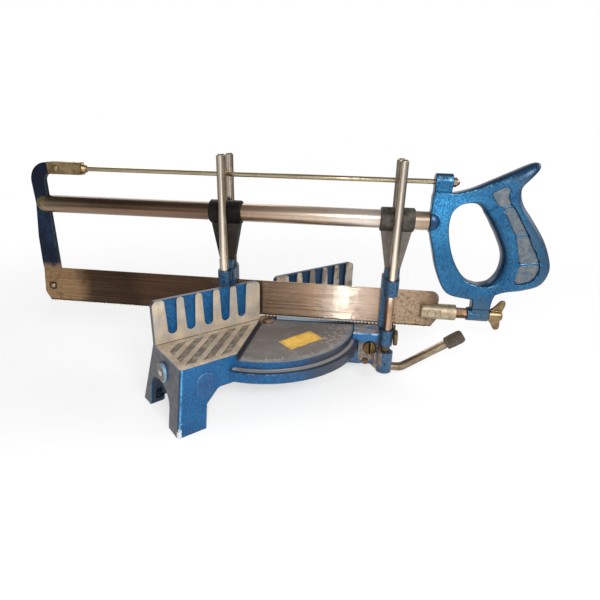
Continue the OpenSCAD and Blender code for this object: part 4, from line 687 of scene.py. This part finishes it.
def metalFinish(name):
    look = metals[name]
    made, shader, spot = startFinish(name)
    soft, edge, flat = softEdge(spot, 0.5)
    streak = spot.stretch(look["along"]).noise(1.0, 4.0, 0.6)
    stain = spot.noise(60.0, 4.0, 0.68)
    pits = spot.patches(520.0, 2.0, 0.5, 0.62, 0.75) * look["mottle"]
    tone = 0.62 + ((streak * 0.6 + stain * 0.55).rise(0.38, 0.78) - 0.62) * look["mottle"]
    tone = tone.most(edge * 0.8) * (1.0 - pits * 0.5)
    if "front" in look:  # painted highlight along the front, painted shade where the round side turns away
        facing = flat.dot(look["front"])
        tone = (tone * (0.1 + facing.rise(0.1, 0.85) * 0.9)).most(facing.rise(0.86, 0.98))
    shade = tone.blend(look["deep"], look["light"])
    if "foot" in look:  # oil and rust gather low on the piece; above them a painted reflection of the blade's copper tone
        height = heightOf(spot)
        foot = (height + stain * 8.0).rise(look["foot"] + 8.0, look["foot"])
        shin = height.rise(*look["shin"]) * (0.5 + stain * 0.6)
        shade = coats(shade, look, shinShade=shin, footShade=foot)
    if "slot" in look:  # painted shade in the slot of the head, painted highlights on the lips beside it
        fromSlot = abs(alongSaw(spot) - look["slot"])
        shade = coats(shade, look, lip=fromSlot.rise(1.9, 1.5) * streak.rise(0.4, 0.6),
                      slotShade=fromSlot.rise(1.1, 0.9))
    rough = look["rough"] + (stain * 0.14 + pits * 0.18) * look["mottle"]
    normal = bump(streak + pits * -0.6, 0.25 * look["mottle"], 0.06, soft)
    return endFinish(made, shader, Base_Color=shade, Roughness=rough, Metallic=1.0, Normal=normal)


# Saw steel: the tone changes along the saw from brown patina to bright metal by the handle; the brightest
# stops are a painted highlight where the lamp's streak falls
sawSteel = {
    "bladeSteel": {
        "stops": [(0.0, rgb(172, 138, 100)), (0.085, rgb(162, 129, 94)), (0.14, rgb(80, 60, 44)),
                  (0.24, rgb(62, 46, 34)), (0.28, rgb(86, 63, 47)), (0.43, rgb(82, 61, 47)),
                  (0.55, rgb(160, 133, 109)), (0.63, rgb(184, 154, 128)), (0.69, rgb(201, 171, 145)),
                  (0.77, rgb(242, 226, 209)), (0.85, rgb(212, 183, 160)), (0.89, rgb(192, 166, 140)),
                  (0.96, rgb(178, 152, 126)), (0.99, rgb(120, 102, 84))],
        "start": -288.0, "length": 485.0, "stain": rgb(62, 45, 32), "rough": 0.13, "spots": 0.5, "tilt": 0.75,
        "waver": 0.08, "teeth": 74.2, "toothTip": rgb(240, 234, 222), "gullet": rgb(56, 42, 32),
        "freckles": (0.84, 0.9), "pin": (-276.4, 95.4), "pinDirt": rgb(34, 30, 28)},
    "chromeTube": {
        "stops": [(0.0, rgb(142, 125, 102)), (0.06, rgb(118, 100, 82)), (0.2, rgb(90, 70, 55)),
                  (0.44, rgb(104, 81, 65)), (0.54, rgb(168, 141, 120)), (0.72, rgb(208, 186, 167)),
                  (0.84, rgb(232, 218, 206)), (0.95, rgb(196, 175, 157)), (1.0, rgb(168, 147, 127))],
        "start": -263.0, "length": 438.0, "stain": rgb(66, 50, 40), "rough": 0.24, "spots": 0.3, "tilt": 0.03,
        "waver": 0.05, "axis": 198.1, "radius": 10.0, "belly": rgb(176, 144, 122)},
    "metal": 0.95,
}


def tubeTones(spot, look, height, worn, shade):  # painted shade along the back, painted light along the belly
    level = ((height - look["axis"]) * 0.94 + spot.dot((diag, diag, 0.0)) * 340.0) / look["radius"]
    return coats(shade, look, stain=level.rise(-0.1, 0.3) * worn * 0.5,
                 belly=level.rise(-0.3, -0.5) * worn * 0.45)


def bladeTones(spot, look, along, height, place, shade):
    # freckles by the handle, bright filed tips, dirt along the foot of the teeth and round the pin
    freckles = spot.patches(230.0, 4.0, 0.7, 0.5, 0.63) * place.rise(*look["freckles"]) * 0.5
    tooth = height - look["teeth"]
    tip = tooth.rise(2.1, 1.7)
    pinAlong, pinHeight = look["pin"]
    fromPin = ((along - pinAlong) ** 2.0 + (height - pinHeight) ** 2.0) ** 0.5
    shade = coats(shade, look, stain=freckles, gullet=tooth.rise(4.0, 3.2) * 0.8, toothTip=tip,
                  pinDirt=fromPin.rise(6.2, 4.4) * 0.85)
    return shade, tip


def sawFinish(name):
    look, metal = sawSteel[name], sawSteel["metal"]
    made, shader, spot = startFinish(name)
    flat = spot.node("ShaderNodeNewGeometry", {}, {}, "Normal")
    along, height = alongSaw(spot), heightOf(spot)
    place = (along - look["start"]) / look["length"] + (spot.noise(24.0, 3.0, 0.6) - 0.5) * look["waver"]
    line = spot.node("ShaderNodeCombineXYZ", {}, {0: along * 0.0006, 1: 0.0, 2: height * 1.5})
    brush = line.noise(1.0, 4.0, 0.65)
    worn = (1.0 - place).rise(0.3, 0.9)  # rust spots are thicker towards the far end
    spots = (spot.noise(150.0, 4.0, 0.7) + worn * 0.04).rise(0.56, 0.72) * look["spots"]
    bands = spot.stretch((8.0, 8.0, 130.0)).patches(1.0, 3.0, 0.6, 0.42, 0.62) * look["spots"] * 1.4
    rust = spots.most(bands * worn * (0.3 + place.rise(0.07, 0.16) * 0.7))
    shade = rust.blend(place.shades(look["stops"]), look["stain"])
    if name == "chromeTube":
        shade = tubeTones(spot, look, height, worn, shade)
    else:
        shade, tip = bladeTones(spot, look, along, height, place, shade)
        metal = metal - tip * 0.7
    # every fine scratch along the saw tips the surface a little up or down
    scratch = (brush * 8.0).zigzag(0.5) * 4.0 - 1.0
    lean = spot.node("ShaderNodeCombineXYZ", {}, {0: 0.0, 1: 0.0, 2: scratch * look["tilt"]})
    normal = spot.node("ShaderNodeVectorMath", {"operation": "NORMALIZE"}, {0: flat.vector("ADD", lean)})
    rough = look["rough"] + brush * 0.08 + spots * 0.3
    return endFinish(made, shader, Base_Color=shade, Roughness=rough, Metallic=metal, Normal=normal)


# Dark pieces; grain is the scale of the fine spots, sheen is how much the piece mirrors
def darkLook(deep, light, worn, rough, grain, metal, sheen, **extra):
    return {"deep": rgb(*deep), "light": rgb(*light), "worn": rgb(*worn), "rough": rough, "grain": grain,
            "metal": metal, "sheen": sheen, **extra}


darks = {
    "navyPaint": darkLook((10, 17, 30), (30, 50, 76), (112, 124, 134), 0.36, 300.0, 0.1, 0.2,
                          bend=(192.0, 236.0), foot=(128.0, 120.0), footShade=rgb(128, 102, 80)),
    "blackSleeve": darkLook((10, 9, 8), (30, 27, 23), (60, 56, 50), 0.4, 260.0, 0.0, 0.12),
    "rubbedSleeve": darkLook((40, 37, 33), (92, 87, 78), (116, 110, 100), 0.38, 260.0, 0.0, 0.2),
    "blackWeb": darkLook((32, 28, 25), (54, 49, 43), (78, 72, 64), 0.5, 200.0, 0.0, 0.15),
    "greyWeb": darkLook((84, 79, 72), (112, 106, 98), (122, 116, 108), 0.5, 200.0, 0.0, 0.2),
    "rubberTip": darkLook((52, 45, 38), (100, 88, 76), (132, 120, 106), 0.6, 420.0, 0.0, 0.3),
}


def darkFinish(name):
    look = darks[name]
    made, shader, spot = startFinish(name)
    soft, edge, flat = softEdge(spot, 0.7)
    fine = spot.noise(look["grain"], 3.0, 0.6)
    cloud = spot.noise(30.0, 4.0, 0.66)
    shade = (fine * 0.4 + cloud * 0.6).rise(0.36, 0.74).blend(look["deep"], look["light"])
    rub = edge * spot.patches(90.0, 4.0, 0.68, 0.36, 0.62)
    if "bend" in look:  # painted shade round the bend and on the narrow sides, rubbed brown at the foot
        height = heightOf(spot)
        narrow = abs(flat.dot((diag, -diag, 0.0))) > 0.6
        shade = coats(shade, look, deep=(height.rise(*look["bend"]) * 0.8).most(narrow * 0.7),
                      footShade=height.rise(*look["foot"]) * cloud.rise(0.3, 0.5))
    shade = coats(shade, look, worn=rub)
    return endFinish(made, shader, Base_Color=shade, Roughness=look["rough"] + cloud * 0.2,
                     Metallic=look["metal"] + rub * 0.3, Normal=bump(fine, 0.22, 0.12, soft),
                     Specular_IOR_Level=look["sheen"])


# Grip inlays: grey alloy with blue left in the ridges
panelLook = {"deep": rgb(52, 76, 98), "light": rgb(116, 118, 116), "edge": rgb(150, 146, 138),
             "ribLine": (0.417, 0.909), "ribHalf": 0.675}


def panelFinish():
    made, shader, spot = startFinish("panelAlloy")
    alongShare, heightShare = panelLook["ribLine"]
    along = alongSaw(spot) * alongShare - heightOf(spot) * heightShare
    ridge = along.zigzag(panelLook["ribHalf"]) / panelLook["ribHalf"]
    rub = spot.noise(230.0, 4.0, 0.65)
    shade = (ridge * 0.3 + rub * 0.86).rise(0.36, 0.8).blend(panelLook["deep"], panelLook["light"])
    soft, edge, flat = softEdge(spot, 0.9)
    shade = coats(shade, panelLook, edge=edge * spot.patches(70.0, 3.0, 0.6, 0.3, 0.6))
    return endFinish(made, shader, Base_Color=shade, Roughness=0.42 + rub * 0.2, Metallic=0.4,
                     Normal=bump(rub, 0.2, 0.1, soft))


# Blank sticker: yellow film with a thin brown border and rubbed corners
filmLook = {"film": rgb(226, 184, 84), "faded": rgb(196, 152, 66), "line": rgb(120, 84, 34),
            "dirt": rgb(104, 84, 54), "middle": (1.0, -63.7), "half": (23.2, 12.2), "slant": 0.04}


def filmFinish():
    made, shader, spot = startFinish("yellowFilm")
    (middleX, middleY), (halfX, halfY) = filmLook["middle"], filmLook["half"]
    x, y = spot.part("X") * 1000.0 - middleX, spot.part("Y") * 1000.0 - middleY
    edge = (abs(x) / halfX).most(abs(y - x * filmLook["slant"]) / halfY)
    stain = spot.noise(90.0, 4.0, 0.65)
    shade = stain.rise(0.4, 0.75).blend(filmLook["film"], filmLook["faded"])
    shade = coats(shade, filmLook, line=edge.between(0.86, 0.9) * stain.rise(0.3, 0.5) * 0.7,
                  dirt=(edge + stain * 0.25).rise(1.06, 1.16) * 0.7)
    return endFinish(made, shader, Base_Color=shade, Roughness=0.36 + stain * 0.2)


finishes = {"panelAlloy": panelFinish(), "yellowFilm": filmFinish(), "castingPaint": castingFinish(),
            "handlePaint": handleFinish(), "armPaint": armFinish(), "partPaint": partFinish()}
finishes.update({name: metalFinish(name) for name in metals})
finishes.update({name: sawFinish(name) for name in ("bladeSteel", "chromeTube")})
finishes.update({name: darkFinish(name) for name in darks})

wears = {
    "castingPaint": ["base_casting"],
    "armPaint": ["swing_arm"],
    "handlePaint": ["handle"],
    "partPaint": ["rear_stops", "stop_near", "stop_far", "front_carriage", "rear_carriage", "post_screws"],
    "chromePost": ["post_front_near", "post_front_far", "post_rear_near", "post_rear_far"],
    "chromeTube": ["spine_tube"],
    "leverSteel": ["lever_rod", "lever_pawl"],
    "plainSteel": ["pivot_washer", "pivot_nut", "rear_stop_screws", "pawl_spring", "blade_pin",
                   "front_hold_screw", "rear_hold_screw", "grip_panels"],
    "zincRod": ["tension_rod", "rod_nut"],
    "zincPlate": ["clevis", "clevis_rivet"],
    "agedBrass": ["wing_nut"],
    "slotBrass": ["lever_screw"],
    "silverScrew": ["end_screws"],
    "darkBrass": ["thumbscrew_near", "thumbscrew_far", "pivot_bush"],
    "pewter": ["blade_block", "block_pin"],
    "brownScrew": ["tension_screw", "arm_screw"],
    "copperBolt": ["pivot_bolt"],
    "plugAlloy": ["tube_plug"],
    "bladeSteel": ["blade"],
    "navyPaint": ["end_arm"],
    "blackSleeve": ["rear_sleeve"],
    "rubbedSleeve": ["front_sleeve"],
    "blackWeb": ["rear_web"],
    "greyWeb": ["front_web"],
    "rubberTip": ["lever_tip"],
}
for finishName, nodeNames in wears.items():
    for nodeName in nodeNames:
        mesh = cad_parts[nodeName].data
        mesh.materials.clear()
        mesh.materials.append(finishes[finishName])
print("finishes ready")

# Handle: a closed loop of sections, flat and square at the front, full and round at the grip
grip = {
    "front": 175.0, "axis": 198.1, "steps": 20, "sides": 112,
    "rows": [  # inner edge, outer edge, half thickness, squareness
        [20.8, -2.6, 0.4, -6, 8, 7], [22.3, 10, 0.3, 13.2, 8, 7], [28, 17.2, 2, 31, 8, 7],
        [33, 20, 19, 30.5, 8, 7], [40, 21, 38, 35.5, 9, 4], [46.4, 20, 58, 45, 10.8, 2.7],
        [50, 17.8, 77.5, 54.7, 12, 2.7], [52.4, 15.5, 96, 63, 12.5, 2.7], [54, 13, 101, 58, 12.9, 2.7],
        [56, 10, 89, 43, 13.4, 2.7], [60, 4.5, 87.3, 33, 14, 2.7], [64, -2, 92, 21, 15, 2.7],
        [70, -11.5, 104, 6, 15, 2.7], [77.7, -26.6, 118, -13, 15, 2.7], [80.2, -37, 127.5, -32, 15, 2.7],
        [79.5, -48.5, 130.8, -47, 15, 2.7], [76, -57, 125, -62, 14.5, 2.7],
        [70, -63.5, 110, -69, 13, 2.7], [62, -66.5, 88, -73.5, 11, 4], [55.9, -65.5, 66, -83, 9, 7],
        [46.8, -61.6, 48, -83.3, 8, 7], [36.6, -50.2, 27, -77.5, 8, 7], [28, -34, 14, -54.5, 8, 7],
        [22.8, -16.7, 6.5, -30, 8, 7]],
    "pocket": [  # edge of the sunk strip down the grip
        [57.2, 31.3], [62.7, 36.3], [69.1, 39.5], [73.6, 36.8], [73.4, 30], [77.6, 21.4], [80.9, 19.2],
        [98, -5.8], [99.8, -8.8], [115.2, -35.5], [116.1, -38.7], [116.4, -47.2], [111.1, -56.8],
        [99.6, -61.1], [94.2, -58.1], [95.8, -41.8], [95.9, -38], [87.4, -12], [85.4, -7.7],
        [70.1, 17.5], [67.6, 18.7]],
    "floor": 10.6, "blend": 1.3,
    "bars": [[[68.3, 18.0], [79.6, 20.4]], [[86.2, -10.0], [99.2, -7.2]], [[95.7, -40.0], [116.3, -37.0]]],
    "barTop": 12.75, "barHalf": 1.5, "barBulge": 1.2,
    "panels": [
        [[57.2, 31.3], [62.7, 36.3], [69.1, 39.5], [73.6, 36.8], [73.4, 30], [77.6, 21.4], [67.6, 18.7]],
        [[70.1, 17.5], [80.9, 19.2], [98, -5.8], [85.4, -7.7]],
        [[87.4, -12], [99.8, -8.8], [115.2, -35.5], [95.9, -38]],
        [[95.8, -41.8], [116.1, -38.7], [116.4, -47.2], [111.1, -56.8], [99.6, -61.1], [94.2, -58.1]]],
    "panelTop": 12.5, "panelFloor": 10.4, "ribPitch": 1.35, "ribDepth": 0.1, "ribLine": (0.417, -0.909),
    "dome": (11.2, 12.0, 11.4),  # foot radius, radius, length
    "rodBarrel": (41.0, 8.6), "screwBarrel": (-102.7, 7.7),  # height over the axis, radius
    "rodSpan": (1.0, 19.0), "neck": (54.0, 77.5),  # start and end along the saw
    "rodWeb": (8.0, 18.0),  # half thickness, drop below the barrel's middle
    "neckWeb": (3.5, 7.4, 72.0, 6.0),  # inset, half thickness, drop of its top below the axis, fillet
}


def gripLoop():
    rows = smoothLoop(np.array(grip["rows"], float), grip["steps"])
    turn = ring(grip["sides"])
    reach = superellipse(turn, rows[:, 5:6])
    across, thick = reach * np.cos(turn), reach * np.sin(turn)
    s = (rows[:, 0:1] + rows[:, 2:3]) / 2 + (rows[:, 2:3] - rows[:, 0:1]) / 2 * across
    z = (rows[:, 1:2] + rows[:, 3:4]) / 2 + (rows[:, 3:4] - rows[:, 1:2]) / 2 * across
    y = rows[:, 4:5] * thick
    outline = smoothLoop(np.array(grip["pocket"], float), 5)
    inside = depthInside(np.stack([s, z], -1).reshape(-1, 2), outline).reshape(s.shape)
    sunk = ease(inside, -0.2, grip["blend"]) * (abs(y) > grip["floor"])
    y = np.sign(y) * (abs(y) * (1 - sunk) + grip["floor"] * sunk)
    return shell(sawToFrame(np.stack([s + grip["front"], y, z + grip["axis"]], -1)), wrapRows=True)


def gripBars(side):  # low ridges that part the panels: a half-round bar from edge to edge
    bars = []
    for ends in np.array(grip["bars"], float):
        along = np.linspace(0, 1, 12)[:, None]
        middle = ends[0] + (ends[1] - ends[0]) * along
        line = (ends[1] - ends[0]) / np.linalg.norm(ends[1] - ends[0])
        turn = ring(16)
        off = grip["barHalf"] * np.cos(turn)
        s = middle[:, 0:1] - line[1] * off + grip["front"]
        z = middle[:, 1:2] + line[0] * off + grip["axis"]
        y = side * (grip["barTop"] - grip["barBulge"] + grip["barBulge"] * np.sin(turn)) + 0 * along
        bars.append(shell(sawToFrame(np.stack([s, y, z], -1))))
    return bars


def gripPanel(corners, side):
    # rings of a rounded outline drawn in to its middle; the top is crowned, with fine ridges across the grip
    outline = smoothLoop(np.array(corners, float), 14)
    middle = outline.mean(0)
    scale = np.concatenate([[0.955, 0.955], np.linspace(0.94, 0.02, 60)])[:, None]
    s = middle[0] + (outline[:, 0] - middle[0]) * scale
    z = middle[1] + (outline[:, 1] - middle[1]) * scale
    along = s * grip["ribLine"][0] + z * grip["ribLine"][1]
    ridges = grip["ribDepth"] * np.sin(2 * np.pi * along / grip["ribPitch"]) * ease(1 - scale, 0.12, 0.22)
    top = grip["panelTop"] - 0.5 * ease(scale, 0.86, 1.0) + ridges
    top[0] = grip["panelFloor"]
    return shell(sawToFrame(np.stack([s + grip["front"], side * top, z + grip["axis"]], -1)))


def barrel(start, end, radius, corner):  # profile of a short cylinder with rounded ends
    bend = np.linspace(0, np.pi / 2, 6)
    first = np.stack([start + corner * (1 - np.sin(bend)), radius - corner * (1 - np.cos(bend))], -1)[::-1]
    last = np.stack([end - corner * (1 - np.sin(bend)), radius - corner * (1 - np.cos(bend))], -1)
    return np.concatenate([first, last])


def makeHandle():
    front, axis = grip["front"], grip["axis"]
    footR, domeR, domeLength = grip["dome"]
    nose = np.linspace(0, np.pi / 2, 14)
    cap = np.stack([front + 2 + domeLength * np.sin(nose), domeR * np.cos(nose) + 0.02], -1)
    dome = np.concatenate([[[front, footR], [front + 0.6, domeR]], cap])
    rodZ, rodR = axis + grip["rodBarrel"][0], grip["rodBarrel"][1]
    screwZ, screwR = axis + grip["screwBarrel"][0], grip["screwBarrel"][1]
    rod0, rod1 = (front + place for place in grip["rodSpan"])
    neck0, neck1 = (front + place for place in grip["neck"])
    webHalf, webDrop = grip["rodWeb"]
    inset, neckHalf, neckDrop, neckGrow = grip["neckWeb"]
    parts = [
        gripLoop(), revolve(dome, (0, 0, axis)),
        revolve(barrel(rod0, rod1, rodR, 1.2), (0, 0, rodZ)),
        softBlock((rod0, -webHalf, rodZ - webDrop), (rod1, webHalf, rodZ), 1.0),
        softBlock((neck0 + inset, -neckHalf, screwZ), (neck1, neckHalf, axis - neckDrop), 1.0, grow=neckGrow),
        revolve(barrel(neck0, neck1, screwR, 1.0), (0, 0, screwZ)),
    ] + gripBars(1) + gripBars(-1)
    made = makePiece("handleCasting", parts, "saw", "handlePaint")
    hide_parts("handle")
    panels = [gripPanel(corners, side) for corners in grip["panels"] for side in (1, -1)]
    made = makePiece("gripInlays", panels, "saw", "panelAlloy")
    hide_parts("grip_panels")


makeHandle()
print("handle ready")

# Wing nut: two rounded ears on a tapered hub
wing = {
    "place": (252.7, 0.0, 95.4), "lean": 12.0, "half": 1.7,
    "hub": [
        [0.0, 0.02], [0.0, 6.4], [0.5, 6.9], [2.0, 6.9], [12.0, 6.1], [14.2, 5.9], [14.8, 5.4],
        [15.0, 4.6], [15.0, 0.02]],
    "ear": [
        [1.0, 2.0], [1.2, 6.6], [4.0, 9.6], [7.2, 14.4], [9.6, 18.2], [12.2, 19.4], [14.8, 18.6],
        [15.9, 15.8], [15.6, 11.0], [14.6, 6.4], [13.0, 2.0]],
}


def pillow(outline, half):  # an outline filled on both sides: rings shrink as they rise, with a round edge
    turn = np.linspace(-np.pi / 2, np.pi / 2, 25)
    scale = np.maximum(np.cos(turn), 1e-4)[:, None] ** 0.3
    rise = np.sign(np.sin(turn)) * abs(np.sin(turn)) ** 0.5 * half
    middle = outline.mean(0)
    flat = middle + (outline - middle) * scale[..., None]
    return np.stack([flat[..., 0], rise[:, None] + 0 * flat[..., 0], flat[..., 1]], -1)


def makeWing():
    ear = pillow(smoothLoop(np.array(wing["ear"], float), 8), wing["half"])
    parts = [revolve(wing["hub"], wing["place"])]
    lean = math.radians(wing["lean"])
    for side in (1, -1):
        y, z = ear[..., 1], ear[..., 2] * side
        across, up = y * math.cos(lean) - z * math.sin(lean), y * math.sin(lean) + z * math.cos(lean)
        parts.append(shell(sawToFrame(np.stack([ear[..., 0], across, up], -1) + np.array(wing["place"]))))
    made = makePiece("wingEars", parts, "wing", "agedBrass")
    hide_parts("wing_nut")


makeWing()
print("wing nut ready")

# Turned small parts: rows of (along, radius) about a line
turned = {
    "bladePinDomes": {
        "replaces": "blade_pin", "body": "saw", "slot": "bare_alloy", "finish": "leverSteel",
        "lines": [((-276.4, 0.0, 95.4), (0, 1, 0))],
        "rows": [
            [-2.1, 0.02], [-2.0, 1.0], [-1.7, 2.0], [-1.2, 2.7], [-0.5, 3.05], [-0.45, 2.5], [2.5, 2.5],
            [2.52, 4.0], [2.9, 3.9], [3.5, 3.2], [3.9, 2.0], [4.1, 0.02]]},
    "clevisRivetDomes": {
        "replaces": "clevis_rivet", "body": "saw", "slot": "zinc_plate", "finish": "zincPlate",
        "lines": [((-244.9, 0.0, 239.1), (0, 1, 0))],
        "rows": [
            [-6.9, 0.02], [-6.8, 1.2], [-6.4, 2.3], [-5.9, 3.0], [-5.5, 3.3], [-5.48, 2.2], [5.48, 2.2],
            [5.5, 3.3], [5.9, 3.0], [6.4, 2.3], [6.8, 1.2], [6.9, 0.02]]},
    "endScrewDomes": {
        "replaces": "end_screws", "body": "base", "slot": "bare_alloy", "finish": "silverScrew",
        "lines": [((144.07, -21.0, 53.6), (1, 0, 0)), ((-144.07, -21.0, 53.6), (-1, 0, 0))],
        "rows": [
            [-13.5, 0.02], [-13.5, 2.5], [0.0, 2.5], [0.02, 3.5], [0.5, 3.4], [1.0, 2.7], [1.3, 1.6],
            [1.4, 0.02]]},
    "leverCap": {
        "replaces": "lever_tip", "body": "lever", "slot": "rubber", "finish": "rubberTip",
        "lines": [((163.0, 0.0, 20.2), (0.8141, 0.0, 0.5807))],
        "rows": [
            [60.5, 0.02], [60.5, 6.0], [60.8, 6.8], [61.6, 7.3], [63.0, 7.5], [63.4, 7.2], [63.9, 7.2],
            [64.3, 7.55], [65.6, 7.6], [66.0, 7.3], [66.5, 7.3], [66.9, 7.65], [70.0, 7.75],
            [77.0, 7.75], [79.2, 7.5], [80.8, 6.9], [81.9, 5.9], [82.4, 4.6], [82.5, 3.4], [82.2, 2.8],
            [82.1, 0.02]]},
}


def makeTurned():
    for name, look in turned.items():
        inSaw = look["body"] != "base"
        frameOf = sawToFrame if inSaw else (lambda points: points * mm)
        parts = [revolve(look["rows"], place, axis, 48, frameOf) for place, axis in look["lines"]]
        made = makePiece(name, parts, look["body"], look["finish"])
        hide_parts(look["replaces"])


makeTurned()
print("turned parts ready")

# Brow of the lever head, drawn up to the quadrant's edge
brow = {
    "half": 12.3, "corner": 1.6,
    "tiers": [{"inner": 103.9, "outer": 131.7, "kerf": 1.2, "low": 57.5, "high": 68.0},
              {"inner": 110.7, "outer": 114.0, "kerf": 8.0, "low": 44.0, "high": 59.0}],
}


def browBlock(tier, side):
    # the outline follows the quadrant's edge on the inside; upper rings are drawn in along a quarter circle
    across = np.linspace(tier["kerf"], brow["half"], 12)
    inner = np.stack([np.sqrt(tier["inner"] ** 2 - across ** 2), across], -1)
    outer = np.stack([np.full_like(across, tier["outer"]), across[::-1]], -1)
    share = np.linspace(0, 1, 16)[1:-1, None]
    outline = np.concatenate([inner, inner[-1] + (outer[0] - inner[-1]) * share,
                              outer, outer[-1] + (inner[0] - outer[-1]) * share])
    middle = (outline.max(0) + outline.min(0)) / 2
    half = (outline.max(0) - outline.min(0)) / 2
    bend = np.linspace(0, np.pi / 2, 7)
    inset = np.concatenate([[0.0], brow["corner"] * (1 - np.cos(bend))])
    z = np.concatenate([[tier["low"]], tier["high"] - brow["corner"] * (1 - np.sin(bend))])
    flat = middle + (outline - middle) * ((half - inset[:, None]) / half)[:, None, :]
    grid = np.stack([flat[..., 0], side * flat[..., 1], z[:, None] + 0 * flat[..., 0]], -1)
    return shell(sawToFrame(grid))


def makeBrow():
    blocks = [browBlock(tier, side) for tier in brow["tiers"] for side in (1, -1)]
    makePiece("leverBrow", blocks, "arm", "armPaint")


makeBrow()
print("brow ready")

# Sticker on the quadrant
label = {
    "corners": [[-22.5, -53.5], [24.5, -50.0], [24.0, -75.5], [-22.0, -76.0]],
    "low": 66.98, "thick": 0.25, "cornerPull": 0.035,
    "rings": [1.0, 1.0, 0.985, 0.9, 0.6, 0.3, 0.03], "levels": [0.0, 0.8, 1.0, 1.0, 1.0, 1.0, 1.0],
}


def makeLabel():  # rounded four-cornered plate: rings of the outline drawn in to the middle
    c = np.array(label["corners"])
    t = np.linspace(0, 1, 25)[:, None]
    edges = np.concatenate([c[k] + (c[(k + 1) % 4] - c[k]) * t[:-1] for k in range(4)])
    middle = edges.mean(0)
    span = abs(c - c.mean(0)).max(0)
    unit = (edges - middle) / span
    pull = 1 - label["cornerPull"] * ease(abs(unit[:, 0]), 0.9, 1.0) * ease(abs(unit[:, 1]), 0.8, 1.0)
    edges = middle + (edges - middle) * pull[:, None]
    scale = np.array(label["rings"])[:, None]
    x = middle[0] + (edges[:, 0] - middle[0]) * scale
    y = middle[1] + (edges[:, 1] - middle[1]) * scale
    z = np.array(label["levels"])[:, None] * label["thick"] + label["low"]
    grid = np.stack([x, y, z + 0 * edges[:, 0]], -1)
    makePiece("blankSticker", [shell(grid * mm)], "base", "yellowFilm")


makeLabel()
print("sticker ready")

# Low sill behind the pivot that joins the two fences under the blade
sill = {"half": 11.6, "middle": (6.8, 69.9), "size": (0.9, 3.9), "square": 6.0}


def makeSill():  # a superellipse section carried from one fence to the other
    turn = ring(48)
    reach = superellipse(turn, sill["square"])
    y = sill["middle"][0] + sill["size"][0] * reach * np.cos(turn)
    z = sill["middle"][1] + sill["size"][1] * reach * np.sin(turn)
    x = np.linspace(-sill["half"], sill["half"], 12)[:, None]
    grid = np.stack([x + 0 * turn, y + 0 * x, z + 0 * x], -1)
    makePiece("throatSill", [shell(grid * mm)], "base", "navyPaint")


makeSill()
print("sill ready")
